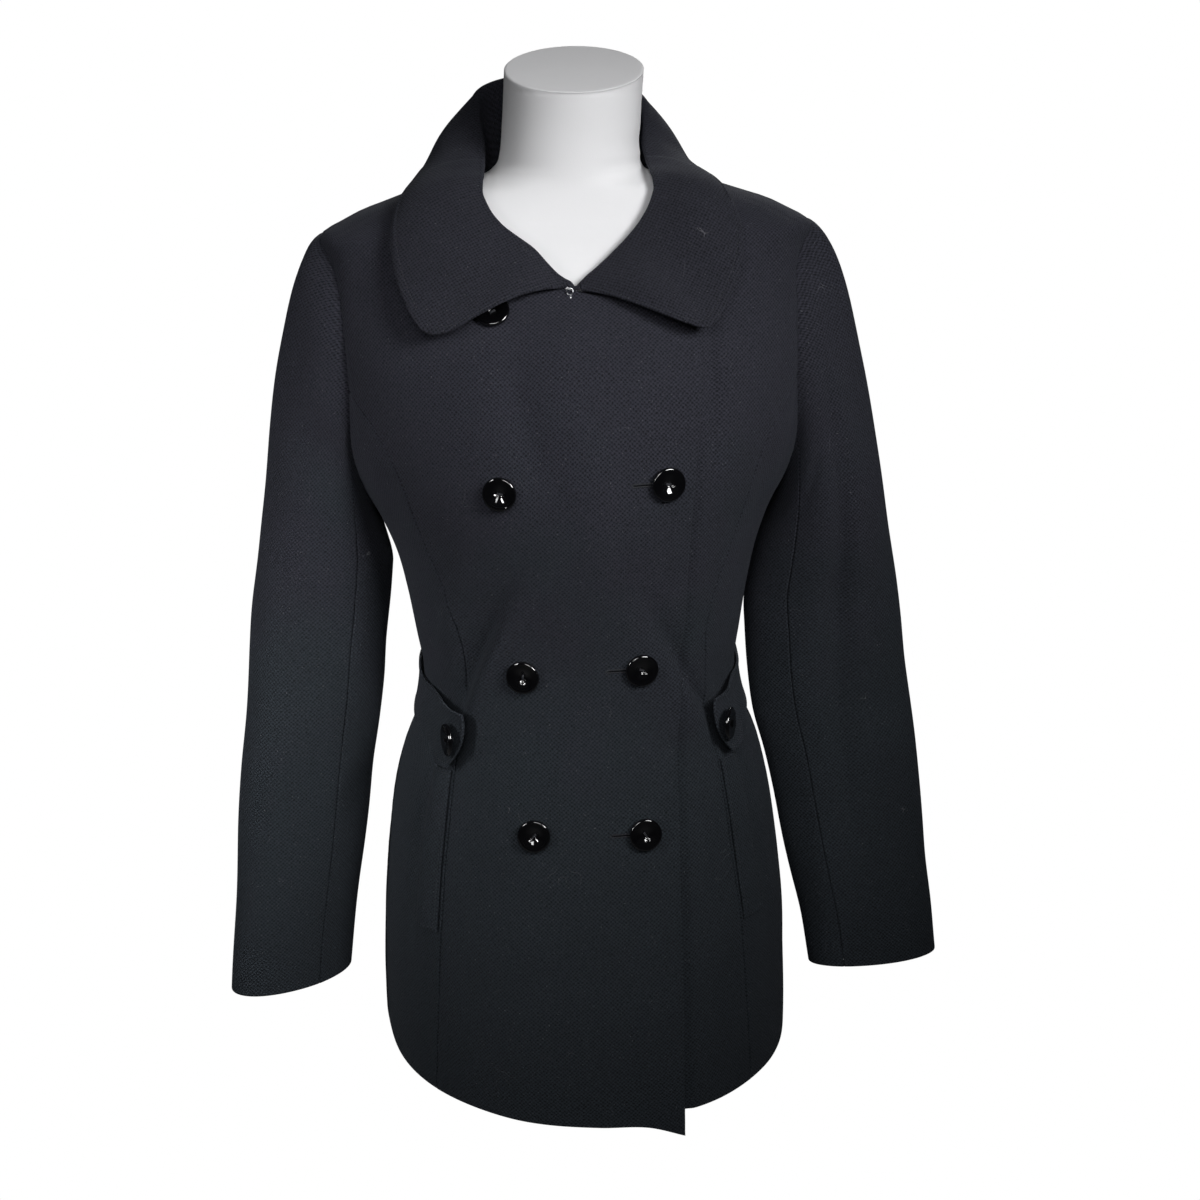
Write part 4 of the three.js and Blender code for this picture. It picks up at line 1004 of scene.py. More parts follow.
# A strap's turned edge: a ridge between the edge and the stitches, and a groove under the stitches.
STRIP = {"ridge": 0.35, "ridge_at": 0.5, "ridge_wide": 0.4, "groove": 0.35, "groove_wide": 0.7}
STRIP_RIPPLE, RIPPLE_SCALE, STRIP_PROBES = 0.3, 1.7, (241, 41)


def strip_grid(point, length_cells, width_cells, turn_in):
    """A strap or welt: rows go up its width, columns along it with rising theta."""
    ks, ws = (np.linspace(0, 1, count) for count in STRIP_PROBES)
    run = lengths(point(ks, np.full(len(ks), 0.5)), 0)
    rise = lengths(point(np.full(len(ws), 0.5), ws), 0)
    k = np.interp(spread(run[-1], length_cells), run, ks)
    w = np.interp(spread(rise[-1], width_cells), rise, ws)
    p = point(*np.meshgrid(k, w))
    near = edge_distance(p, "lrbt")
    height = STRIP["ridge"] * bell((near / turn_in - STRIP["ridge_at"]) / STRIP["ridge_wide"])
    height -= STRIP["groove"] * bell((near - turn_in) / STRIP["groove_wide"])
    uv = np.stack([lengths(p, 1), lengths(p, 0)], -1)
    return p + grid_normals(p) * (height + STRIP_RIPPLE * ripple(p * RIPPLE_SCALE))[..., None], uv, near


WELT = {"bottom": 172.0, "top": 308.0, "wide": 27.0, "clear": 0.012, "radius": 172.0, "turn": 3.0}
WELT_OUT, WELT_FULL = {1: 2.25, -1: 2.9}, {1: 0.5, -1: 2.2}  # by side: the right one stands out more


def welt_point(sign, along, across):
    """A pocket welt's face, which lies on the side front beside the front seam."""
    z = mix(WELT["bottom"], WELT["top"], across)
    near = angle_at_x(z, front_seam(z)) + WELT["clear"]
    far = near + WELT["wide"] / WELT["radius"]
    theta = mix(near, far, along) if sign > 0 else mix(-far, -near, along)
    out = WELT_OUT[sign] + WELT_FULL[sign] * np.sin(PI * along)
    return body_surface(theta, z, lambda angle, level: out)


# ---- Shader building ---------------------------------------------------------------------------


class Sock:
    """A shader socket that Python arithmetic works on."""

    def __init__(self, tree, socket):
        self.tree, self.socket = tree, socket

    def _math(self, operation, *values):
        return self.tree.node("ShaderNodeMath", {"operation": operation}, dict(enumerate(values)))

    def __add__(self, other):
        return self._math("ADD", self, other)

    def __radd__(self, other):
        return self._math("ADD", other, self)

    def __sub__(self, other):
        return self._math("SUBTRACT", self, other)

    def __rsub__(self, other):
        return self._math("SUBTRACT", other, self)

    def __mul__(self, other):
        return self._math("MULTIPLY", self, other)

    def __rmul__(self, other):
        return self._math("MULTIPLY", other, self)

    def __truediv__(self, other):
        return self._math("DIVIDE", self, other)

    def cos(self):
        return self._math("COSINE", self)

    def size(self):
        return self._math("ABSOLUTE", self)

    def between(self, low, high):
        """0 at low and under, 1 at high and over, smooth between."""
        sockets = {"Value": self, "From Min": low, "From Max": high}
        return self.tree.node("ShaderNodeMapRange", {"interpolation_type": "SMOOTHSTEP"}, sockets)


class Tree:
    """Adds nodes to one material."""

    def __init__(self, name):
        self.material = bpy.data.materials.new(name)
        self.material.use_nodes = True
        self.nodes, self.links = self.material.node_tree.nodes, self.material.node_tree.links
        self.nodes.clear()
        self.output = self.nodes.new("ShaderNodeOutputMaterial")
        self.shader = self.nodes.new("ShaderNodeBsdfPrincipled")
        self.links.new(self.shader.outputs[0], self.output.inputs["Surface"])

    def node(self, kind, settings=None, sockets=None, out=0):
        made = self.nodes.new(kind)
        for key, value in (settings or {}).items():
            setattr(made, key, value)
        for key, value in (sockets or {}).items():
            self.put(made.inputs[key], value)
        return Sock(self, made.outputs[out])

    def put(self, socket, value):
        if isinstance(value, Sock):
            self.links.new(value.socket, socket)
        else:
            socket.default_value = value

    def set(self, **sockets):
        for key, value in sockets.items():
            self.put(self.shader.inputs[key.replace("_", " ")], value)

    def colour(self, low, high, factor):
        """A colour between two, by a mask. Either may be a socket."""
        low, high = (end if isinstance(end, Sock) else (*end, 1.0) for end in (low, high))
        return self.node("ShaderNodeMix", {"data_type": "RGBA"}, {"Factor": factor, 6: low, 7: high}, 2)

    def place(self):
        """Object coordinates, in metres."""
        return self.node("ShaderNodeTexCoord", out=3)

    def bump(self, strength, distance, height):
        sockets = {"Strength": strength, "Distance": distance, "Height": height}
        return self.node("ShaderNodeBump", {}, sockets)

    def vector(self, operation, sockets):
        return self.node("ShaderNodeVectorMath", {"operation": operation}, sockets)

    def axis(self, vector, number):
        return self.node("ShaderNodeSeparateXYZ", {}, {0: vector}, number)


def noise(tree, where, scale, detail=2.0, rough=0.5):
    """Soft random values around a half."""
    sockets = {"Vector": where, "Scale": scale, "Detail": detail, "Roughness": rough}
    return tree.node("ShaderNodeTexNoise", {}, sockets)


def weave(tree, settings, cut, place):
    """Masks of a staggered hopsack that wanders a little: the pits and the crowns of the yarn."""
    wander = [noise(tree, cut, 90.0) - 0.5, noise(tree, place, 70.0, 1.0) - 0.5]
    slip = [noise(tree, cut, 430.0, 1.0) - 0.5, noise(tree, place, 390.0, 1.0) - 0.5]
    along = tree.axis(cut, 0) + wander[0] * 0.0016 + slip[0] * 0.0022
    upward = tree.axis(cut, 1) + wander[1] * 0.0014 + slip[1] * 0.0022
    turns = along * (2 * PI / settings.cell_width), upward * (2 * PI / settings.cell_height)
    lattice = turns[0].cos() * turns[1].cos()
    return lattice.between(-0.05, 0.75), (lattice * -1.0).between(0.0, 0.9)


def lint(tree, place):
    """Mask of a few fine hairs, here and there, and of small flecks."""
    hairs = 1.0 - (noise(tree, place, 75.0, 0.0) - 0.5).size().between(0.001, 0.0045)
    here = noise(tree, place, 41.0, 0.0).between(0.76, 0.775)
    flecks = noise(tree, place, 900.0, 0.0).between(0.80, 0.86)
    return hairs * here * 0.28 + flecks * 0.3


def cloth_material(settings, name, shade=1.0):
    """Wool in a small hopsack: pits between the yarns painted dark as shade, crowns of yarn painted paler
    as a highlight, purple above, green below.
    """
    tree = Tree(name)
    cut, place = tree.node("ShaderNodeUVMap", {"uv_map": "Cut"}), tree.place()
    pits, crowns = weave(tree, settings, cut, place)
    fuzz, mottled = noise(tree, cut, 1050.0, 3.0, 0.6), noise(tree, place, 26.0, 3.0, 0.6)
    yarn, uneven = noise(tree, cut, 380.0, 1.0), noise(tree, place, 330.0, 0.0).between(0.25, 0.7)
    # deep: the wool darkened as painted shade for the pits; pale: the wool lightened as a painted highlight
    # for the crowns.
    wool, deep, pale = (
        tuple(shade * v * share for v in settings.wool_colour)
        for share in (1.0, settings.painted_pit_shade, settings.painted_crown_highlight)
    )
    # The crowns of the yarns get a painted highlight, mixed with the yarn's random tone.
    ground = tree.colour(wool, pale, crowns * 0.7 + (yarn - 0.45) * 1.2)
    # The pits between the yarns get painted shade.
    woven = tree.colour(ground, deep, pits * (uneven * 0.35 + 0.62))
    worn = tree.vector("SCALE", {0: woven, "Scale": 0.50 + mottled * 0.24 + fuzz * 0.72})
    high = (tree.axis(place, 2) + (noise(tree, place, 14.0) - 0.5) * 0.5).between(0.25, 0.62)
    tint = tree.colour((0.90, 1.03, 1.0), (1.04, 0.98, 1.06), high)
    tinted = tree.vector("MULTIPLY", {0: worn, 1: tint})
    relief = tree.bump(1.0, settings.weave_depth, (1.0 - pits) * 0.75 + fuzz * 0.35)
    tree.set(Base_Color=tree.colour(tinted, (0.24, 0.24, 0.26), lint(tree, place)), Normal=relief)
    tree.set(Roughness=settings.roughness, Specular_IOR_Level=0.18)
    tree.set(Sheen_Weight=settings.sheen, Sheen_Roughness=0.55, Sheen_Tint=(0.62, 0.68, 0.82, 1.0))
    return tree.material


def thread_material(settings):
    """The wool's colour, a little darker."""
    tree = Tree("Sewing thread")
    tree.set(Base_Color=(*[v * 0.9 for v in settings.wool_colour], 1.0), Roughness=0.6)
    return tree.material


def button_material(settings):
    """Black polished plastic with faint scuffs."""
    tree = Tree("Polished button")
    tree.set(Base_Color=(*settings.button_colour, 1.0), Specular_IOR_Level=0.5)
    tree.set(Roughness=noise(tree, tree.place(), 300.0, 3.0) * 0.06 + 0.03)
    tree.set(Coat_Weight=1.0, Coat_Roughness=0.03, Coat_IOR=1.75)
    return tree.material


def wire_material():
    """Bright bent wire, rubbed here and there."""
    tree = Tree("Hook wire")
    rub = noise(tree, tree.place(), 400.0)
    tree.set(Base_Color=(0.62, 0.63, 0.66, 1.0), Metallic=1.0, Roughness=rub * 0.2 + 0.18)
    return tree.material


def jersey_material(settings):
    """White knitted cover, a little uneven."""
    tree = Tree("White jersey")
    place, white = tree.place(), tuple(settings.jersey_colour)
    shade = tree.colour(tuple(v * 0.95 for v in white), white, noise(tree, place, 14.0))
    knit = tree.bump(0.4, 0.0002, noise(tree, place, 1500.0))
    tree.set(Base_Color=shade, Normal=knit, Roughness=0.85, Sheen_Weight=0.15)
    return tree.material


def slit_shadow_material():
    """Near-black painted shade for the inside of a buttonhole."""
    tree = Tree("Slit shadow")
    tree.set(Base_Color=(0.002, 0.002, 0.0025, 1.0), Roughness=1.0, Specular_IOR_Level=0.0)
    return tree.material


def paper_material():
    """Studio paper: grey to the light, plain white to the camera."""
    tree = Tree("Studio paper")
    tree.set(Base_Color=(0.22, 0.22, 0.22, 1.0), Roughness=0.9, Specular_IOR_Level=0.1)
    white = tree.node("ShaderNodeEmission", {}, {"Color": (1.0, 1.0, 1.0, 1.0), "Strength": 1.0})
    seen, paper = tree.node("ShaderNodeLightPath"), Sock(tree, tree.shader.outputs[0])
    both = tree.node("ShaderNodeMixShader", {}, {0: seen, 1: paper, 2: white})
    tree.put(tree.output.inputs["Surface"], both)
    return tree.material


MATERIALS = {}
# The collar is the same wool painted darker all over by this factor: painted shade.
COLLAR_PAINTED_SHADE = 0.84


def material(kind):
    """Each finish, made once."""
    cloth, fittings = bpy.context.scene.coat_cloth, bpy.context.scene.coat_fittings
    makers = {
        "panel": lambda: cloth_material(cloth, "Hopsack wool"),
        "sleeve": lambda: cloth_material(cloth, "Hopsack wool, sleeves"),
        # The collar's wool, darkened as painted shade.
        "collar": lambda: cloth_material(cloth, "Hopsack wool, collar", COLLAR_PAINTED_SHADE),
        "trim": lambda: cloth_material(cloth, "Hopsack wool, trim"),
        "thread": lambda: thread_material(cloth),
        "button": lambda: button_material(fittings),
        "wire": wire_material,
        "jersey": lambda: jersey_material(fittings),
        "slit": slit_shadow_material,
        "paper": paper_material,
    }
    if kind not in MATERIALS:
        MATERIALS[kind] = makers[kind]()
    return MATERIALS[kind]


# ---- Stitches, by Geometry Nodes ---------------------------------------------------------------


def stitch_tree(thread):
    """One stitch at each point, laid along the point's own direction."""
    tree = bpy.data.node_groups.new("Stitches", "GeometryNodeTree")
    for name, kind, way in (
        ("Geometry", "Geometry", "INPUT"),
        ("Stitch Length", "Float", "INPUT"),
        ("Thread Radius", "Float", "INPUT"),
        ("Geometry", "Geometry", "OUTPUT"),
    ):
        tree.interface.new_socket(name, in_out=way, socket_type="NodeSocket" + kind)

    def add(kind, settings=None, values=None):
        made = tree.nodes.new(kind)
        for key, value in (settings or {}).items():
            setattr(made, key, value)
        for key, value in (values or {}).items():
            made.inputs[key].default_value = value
        return made

    inputs, output = add("NodeGroupInput"), add("NodeGroupOutput")
    bead = add("GeometryNodeMeshUVSphere", {}, {"Segments": 8, "Rings": 5, "Radius": 1.0})
    half, size = add("ShaderNodeMath", {"operation": "MULTIPLY"}, {1: 0.5}), add("ShaderNodeCombineXYZ")
    shape = add("GeometryNodeTransform")
    along = add("GeometryNodeInputNamedAttribute", {"data_type": "FLOAT_VECTOR"}, {"Name": "along"})
    turned = add("FunctionNodeAlignRotationToVector", {"axis": "X"})
    spots, place = add("GeometryNodeMeshToPoints"), add("GeometryNodeInstanceOnPoints")
    real = add("GeometryNodeRealizeInstances")
    dye = add("GeometryNodeSetMaterial", {}, {"Material": thread})
    for start, out, end, into in (
        (inputs, "Stitch Length", half, 0),
        (half, 0, size, "X"),
        (inputs, "Thread Radius", size, "Y"),
        (inputs, "Thread Radius", size, "Z"),
        (bead, "Mesh", shape, "Geometry"),
        (size, 0, shape, "Scale"),
        (along, 0, turned, "Vector"),
        (inputs, "Geometry", spots, "Mesh"),
        (spots, 0, place, "Points"),
        (shape, 0, place, "Instance"),
        (turned, 0, place, "Rotation"),
        (place, 0, real, 0),
        (real, 0, dye, "Geometry"),
        (dye, 0, output, 0),
    ):
        tree.links.new(start.outputs[out], end.inputs[into])
    return tree


def stitched(name, slot_name, points, along, length, radius):
    """Plain mesh of stitches at the points, in millimetres."""
    mesh = bpy.data.meshes.new(name + "_points")
    mesh.from_pydata((np.asarray(points) * MM).tolist(), [], [])
    field = mesh.attributes.new("along", "FLOAT_VECTOR", "POINT")
    field.data.foreach_set("vector", unit(np.asarray(along)).astype(np.float32).ravel())
    seeds = bpy.data.objects.new(name + "_points", mesh)
    bpy.context.scene.collection.objects.link(seeds)
    modifier = seeds.modifiers.new("Stitches", "NODES")
    modifier.node_group = stitch_tree(material("thread"))
    sizes = {"Stitch Length": length * MM, "Thread Radius": radius * MM}
    for item in modifier.node_group.interface.items_tree:
        if item.in_out == "INPUT" and item.name in sizes:
            modifier[item.identifier] = sizes[item.name]
    seeds.update_tag()
    bpy.context.view_layer.update()
    depsgraph = bpy.context.evaluated_depsgraph_get()
    plain = bpy.data.meshes.new_from_object(seeds.evaluated_get(depsgraph))
    seeds.modifiers.remove(modifier)
    bpy.data.objects.remove(seeds)
    plain.name = name
    plain.polygons.foreach_set("use_smooth", np.ones(len(plain.polygons), bool))
    obj = bpy.data.objects.new(name, plain)
    bpy.context.scene.collection.objects.link(obj)
    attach(obj, "root")


def along_line(points, pitch):
    """Evenly spaced points on a line, and the line's direction at each."""
    run = lengths(points, 0)
    count = max(2, int(run[-1] / pitch))
    wanted = (np.arange(count) + 0.5) * run[-1] / count
    at, ahead, behind = (
        np.stack([np.interp(wanted + step, run, points[:, k]) for k in range(3)], -1)
        for step in (0, 0.5, -0.5)
    )
    return at, ahead - behind


# ---- Settings ----------------------------------------------------------------------------------


class CoatClothSettings(bpy.types.PropertyGroup):
    wool_colour: bpy.props.FloatVectorProperty(
        name="Wool colour", description="Colour of the yarn", subtype="COLOR", size=3,
        default=(0.0212, 0.0230, 0.0290), min=0, max=1,
    )
    # Painted shade: how dark the pits between the yarns are painted.
    painted_pit_shade: bpy.props.FloatProperty(
        name="Pit shade", description="How dark the pits between the yarns are", subtype="FACTOR",
        default=0.34, min=0, max=1,
    )
    # Painted highlight: how pale the crowns of the yarns are painted.
    painted_crown_highlight: bpy.props.FloatProperty(
        name="Crown shade", description="How pale the crowns of the yarns are",
        default=1.65, min=1, max=4,
    )
    cell_width: bpy.props.FloatProperty(
        name="Cell width", description="Width of one cell of the weave", unit="LENGTH", default=0.0034,
    )
    cell_height: bpy.props.FloatProperty(
        name="Cell height", description="Height of one cell of the weave", unit="LENGTH", default=0.0033,
    )
    weave_depth: bpy.props.FloatProperty(
        name="Weave depth", description="Relief of the weave", unit="LENGTH", default=0.00042,
    )
    roughness: bpy.props.FloatProperty(
        name="Roughness", description="Roughness of the wool", subtype="FACTOR", default=0.92, min=0, max=1,
    )
    sheen: bpy.props.FloatProperty(
        name="Sheen", description="Strength of the wool's soft sheen", subtype="FACTOR",
        default=0.05, min=0, max=1,
    )


class CoatFittingSettings(bpy.types.PropertyGroup):
    button_radius: bpy.props.FloatProperty(
        name="Button radius", description="Radius of every button", unit="LENGTH", default=0.0132,
    )
    button_colour: bpy.props.FloatVectorProperty(
        name="Button colour", description="Colour of the buttons", subtype="COLOR", size=3,
        default=(0.0022, 0.0022, 0.0028), min=0, max=1,
    )
    jersey_colour: bpy.props.FloatVectorProperty(
        name="Jersey colour", description="Colour of the form's cover", subtype="COLOR", size=3,
        default=(0.86, 0.86, 0.875), min=0, max=1,
    )
    stitch_pitch: bpy.props.FloatProperty(
        name="Stitch pitch", description="Distance between topstitches", unit="LENGTH", default=0.0036,
    )


class CoatStageSettings(bpy.types.PropertyGroup):
    camera_distance: bpy.props.FloatProperty(
        name="Camera distance", description="Distance in front of the form", unit="LENGTH", default=1.8,
    )
    camera_height: bpy.props.FloatProperty(
        name="Camera height", description="Height above the base", unit="LENGTH", default=0.932,
    )
    camera_lens: bpy.props.FloatProperty(
        name="Lens", description="Focal length in millimetres", default=68.7, min=10, max=200,
    )
    key_power: bpy.props.FloatProperty(
        name="Key light", description="Power of the key light in watts", default=1.8, min=0,
    )
    fill_power: bpy.props.FloatProperty(
        name="Side light", description="Power of the side light in watts", default=0.54, min=0,
    )
    front_power: bpy.props.FloatProperty(
        name="Front light", description="Power of the front light in watts", default=0.85, min=0,
    )
    back_power: bpy.props.FloatProperty(
        name="Back light", description="Power of the light behind in watts", default=0.9, min=0,
    )
    surround: bpy.props.FloatProperty(
        name="Surround", description="Brightness of the room round the stage", default=0.01, min=0,
    )


# ---- Operators ---------------------------------------------------------------------------------


CAMERA_TURN = {"pitch": 16.0, "yaw": 3.0, "roll": 1.4}
CAMERA_ASIDE, SENSOR_WIDTH, CLIP_END = 0.0188, 36.0, 100
# The paper's bend behind the form, in metres: floor's front and back edge, bend radius, wall, width.
PAPER = {"front": -6.0, "bend_at": 4.0, "bend": 2.5, "top": 9.0, "half": 9.0, "steps": 25}
# Place, aim, size, spread in degrees, and the setting that holds the power.
LIGHTS = {
    "Key": ((0.8, -1.15, 1.25), (-0.12, -0.1, 0.58), (0.55, 0.55), 50, "key_power"),
    "Side": ((-1.2, -1.05, 0.95), (-0.31, -0.05, 0.41), (0.3, 0.5), 29, "fill_power"),
    "Front": ((-0.2, -1.6, 1.3), (-0.03, -0.1, 0.55), (0.7, 0.6), 56, "front_power"),
    "Back": ((0.35, 1.5, 1.35), (0.0, 0.1, 0.5), (0.7, 0.5), 56, "back_power"),
}


def add_camera(scene, settings):
    """In front of the form, looking down a little and very slightly rolled."""
    pitch, yaw, roll = (math.radians(angle) for angle in CAMERA_TURN.values())
    level = Vector((math.sin(yaw), math.cos(yaw), 0))
    forward = level * math.cos(pitch) - Vector((0, 0, math.sin(pitch)))
    right = Vector((math.cos(yaw), -math.sin(yaw), 0))
    up = right.cross(forward)
    place = Vector((0, 0, settings.camera_height)) - level * settings.camera_distance
    place += right * CAMERA_ASIDE
    side = right * math.cos(roll) - up * math.sin(roll)
    top = right * math.sin(roll) + up * math.cos(roll)
    data = bpy.data.cameras.new("Camera")
    data.lens, data.sensor_width, data.clip_end = settings.camera_lens, SENSOR_WIDTH, CLIP_END
    camera = bpy.data.objects.new("Camera", data)
    camera.matrix_world = Matrix.Translation(place) @ Matrix((side, top, -forward)).transposed().to_4x4()
    scene.collection.objects.link(camera)
    scene.camera = camera


def add_paper():
    """A pale floor that bends up into the wall behind."""
    steps, bend = np.linspace(0, PI / 2, PAPER["steps"]), PAPER["bend"]
    curved = [(PAPER["bend_at"] + bend * math.sin(t), bend * (1 - math.cos(t))) for t in steps]
    line = [(PAPER["front"], 0.0), *curved, (PAPER["bend_at"] + bend, PAPER["top"])]
    points = [(x / MM, y / MM, z / MM) for y, z in line for x in (-PAPER["half"], PAPER["half"])]
    faces = [(2 * i, 2 * i + 1, 2 * i + 3, 2 * i + 2) for i in range(len(line) - 1)]
    floor = mesh_object("studio_floor", points, faces)
    floor.data.materials.append(material("paper"))


def add_light(scene, name, place, aim, size, spread, power):
    """A soft rectangular light, turned toward its aim."""
    lamp = bpy.data.lights.new(name, "AREA")
    lamp.shape, lamp.size, lamp.size_y = "RECTANGLE", *size
    lamp.energy, lamp.spread = power, math.radians(spread)
    obj = bpy.data.objects.new(name, lamp)
    obj.location = place
    obj.rotation_euler = (Vector(aim) - Vector(place)).to_track_quat("-Z", "Y").to_euler()
    scene.collection.objects.link(obj)


def add_surround(scene, strength):
    """A dim room, and plain white where the camera sees past the paper."""
    world = bpy.data.worlds.new("Surround")
    world.use_nodes = True
    nodes, links = world.node_tree.nodes, world.node_tree.links
    nodes.clear()
    output, both = nodes.new("ShaderNodeOutputWorld"), nodes.new("ShaderNodeMixShader")
    path = nodes.new("ShaderNodeLightPath")
    links.new(both.outputs[0], output.inputs["Surface"])
    links.new(path.outputs["Is Camera Ray"], both.inputs[0])
    for socket, brightness in ((1, strength), (2, 1.0)):
        sky = nodes.new("ShaderNodeBackground")
        sky.inputs["Color"].default_value = (1.0, 1.0, 1.0, 1.0)
        sky.inputs["Strength"].default_value = brightness
        links.new(sky.outputs[0], both.inputs[socket])
    scene.world = world


class COAT_OT_stage(bpy.types.Operator):
    """Add the camera, the pale floor and the soft lights"""

    bl_idname = "coat.stage"
    bl_label = "Stage"

    def execute(self, context):
        scene, settings = context.scene, context.scene.coat_stage
        add_camera(scene, settings)
        add_paper()
        for name, (*where, power) in LIGHTS.items():
            add_light(scene, name, *where, getattr(settings, power))
        add_surround(scene, settings.surround)
        scene.view_settings.view_transform = "Standard"
        return {"FINISHED"}


FRONT_TOP, MEET_GAP = 760.5, 3.0


class COAT_OT_body(bpy.types.Operator):
    """Add the eight panels of the body"""

    bl_idname = "coat.body"
    bl_label = "Body panels"

    def execute(self, context):
        cloth = material("panel")

        def add(node, grid, seams):
            cloth_piece(node, *grid, CLOTH, "hung", ["dress_form"], "panel_cloth", cloth, seams)

        def right_edge(z):
            return angle_at_x(z, right_front_edge(z))

        def left_edge(z):
            return angle_at_x(z, -left_front_edge(z))

        outer = mirrored(front_outer)
        right = panel_grid(FRONT_TOP, outer, right_edge, 84, hem_overlap, lap_lift, 0.0, 0.3)
        left = panel_grid(FRONT_TOP, left_edge, front_outer, 74, lift=lap_press, grain=0.0, phase=1.1)
        add("front_right", right, "l")
        add("front_left", left, "r")
        for name, way in SIDES.items():
            sign = way["sign"]
            pieces = (
                ("side_front", FRONT_MEET - MEET_GAP, front_outer, side_front_outer, 30, None, 2.0),
                ("side_back", BACK_MEET - MEET_GAP, side_back_inner, back_inner, 34, None, 0.7),
                ("back", HPS, back_inner, lambda z: PI, 56, sign * PI, 1.9),
            )
            for piece, height, inner, outer, cells, grain, phase in pieces:
                first, last = (inner, outer) if sign > 0 else (mirrored(outer), mirrored(inner))
                grid = panel_grid(height, first, last, cells, grain=grain, phase=phase + sign)
                add(piece + "_" + name, grid, "lr" if piece == "back" else "lrt")
        return {"FINISHED"}


class COAT_OT_sleeves(bpy.types.Operator):
    """Add the two-piece sleeves"""

    bl_idname = "coat.sleeves"
    bl_label = "Sleeves"

    def execute(self, context):
        cloth = material("sleeve")
        for name in SIDES:
            tops = sleeve_grid(name, BACK_SLEEVE_SEAM - 2 * PI, FRONT_SLEEVE_SEAM, 74, 150, 0.4)
            unders = sleeve_grid(name, FRONT_SLEEVE_SEAM, BACK_SLEEVE_SEAM, 40, 130, 1.7)
            for node, grid in (("top_sleeve_" + name, tops), ("under_sleeve_" + name, unders)):
                cloth_piece(node, *grid, CLOTH, "hung", ["dress_form"], "sleeve_cloth", cloth, "lrt")
        return {"FINISHED"}


# Length and radius of the stitches, and how far they stand off the cloth.
THREAD = {"off": 0.05, "collar": (2.7, 0.2), "trim": (2.6, 0.19), "buttonhole": (1.7, 0.26)}


class COAT_OT_collar(bpy.types.Operator):
    """Add the collar and its topstitching"""

    bl_idname = "coat.collar"
    bl_label = "Collar"

    def execute(self, context):
        p, uv, turned, leaf = collar_grid()
        rests = ["cloth_front_right", "cloth_front_left", "cloth_back_right", "cloth_back_left"]
        cloth_piece("collar", p, uv, COLLAR_CLOTH, "folded", rests, "collar_cloth", material("collar"), "l")
        raised = p + grid_normals(p) * THREAD["off"]
        line = []
        for i, across in enumerate(turned):
            j = int(np.argmin(np.where(leaf[i] > 0.3, np.abs(across - COLLAR_TURN), FAR)))
            if abs(across[j] - COLLAR_TURN) < 0.8:
                line.append(raised[i, j])
        at, along = along_line(np.array(line), context.scene.coat_fittings.stitch_pitch / MM)
        stitched("collar_stitching", "collar_cloth", at, along, *THREAD["collar"])
        return {"FINISHED"}


class COAT_OT_trim(bpy.types.Operator):
    """Add the waist tabs and the pocket welts"""

    bl_idname = "coat.trim"
    bl_label = "Tabs and welts"

    def execute(self, context):
        cloth, pitch = material("trim"), context.scene.coat_fittings.stitch_pitch / MM
        laid = []
        for name, way in SIDES.items():
            sign = way["sign"]

            def tab(k, across, sign=sign):
                return tab_point(sign, TAB_ROWS * (1 - k if sign > 0 else k), across)

            def welt(k, across, sign=sign):
                return welt_point(sign, k, across)

            side = "cloth_side_front_" + name
            pieces = (
                ("tab_" + name, tab, 90, 22, TAB_TURN, TAB_CLOTH, [side, "cloth_side_back_" + name]),
                ("pocket_welt_" + name, welt, 12, 60, WELT["turn"], CLOTH, [side]),
            )
            for node, point, long_cells, wide_cells, turn_in, thick, rests in pieces:
                p, uv, near = strip_grid(point, long_cells, wide_cells, turn_in)
                cloth_piece(node, p, uv, thick, "laid", rests, "trim_cloth", cloth)
                raised = p + grid_normals(p) * THREAD["off"]
                rows, columns = near.shape
                r = int(np.argmin(np.abs(near[: rows // 2, columns // 2] - turn_in)))
                c = int(np.argmin(np.abs(near[rows // 2, : columns // 2] - turn_in)))
                for line in (
                    raised[r, c : columns - c],
                    raised[rows - 1 - r, c : columns - c],
                    raised[r : rows - r, c],
                    raised[r : rows - r, columns - 1 - c],
                ):
                    laid.append(along_line(line, pitch))
        spots, ways = (np.concatenate(part) for part in zip(*laid))
        stitched("trim_stitching", "trim_cloth", spots, ways, *THREAD["trim"])
        return {"FINISHED"}


BUTTON_PROFILE = table(
    "r h",
    [0, 1.5],
    [1.6, 1.62],
    [3.2, 2.08],
    [5, 2.78],
    [7, 3.48],
    [9.2, 3.93],
    [10.4, 4.03],
    [11.2, 4.31],
    [11.8, 4.42],
    [12.4, 4.25],
    [12.85, 3.7],
    [13.15, 2.8],
    [13.2, 2.1],
    [13.0, 1.4],
    [12.5, 0.7],
    [11.4, 0.1],
    [10, 0],
    [0.0001, 0],
)
FRONT_BUTTONS = {
    "front_button_1_outer": (-61, 668, 25),
    "front_button_2_outer": (-59.7, 542.5, -30),
    "front_button_2_inner": (62.6, 545, 10),
    "front_button_3_outer": (-47, 393.4, 70),
    "front_button_3_inner": (41.6, 396, -15),
    "front_button_4_outer": (-43, 265.4, 35),
    "front_button_4_inner": (41.6, 262.7, -50),
}
BUTTON_STAND, TAB_BUTTON_STAND, TAB_BUTTON_SPIN, TAB_BUTTON_LEVEL = 1.1, 2.4, 20, 337.7
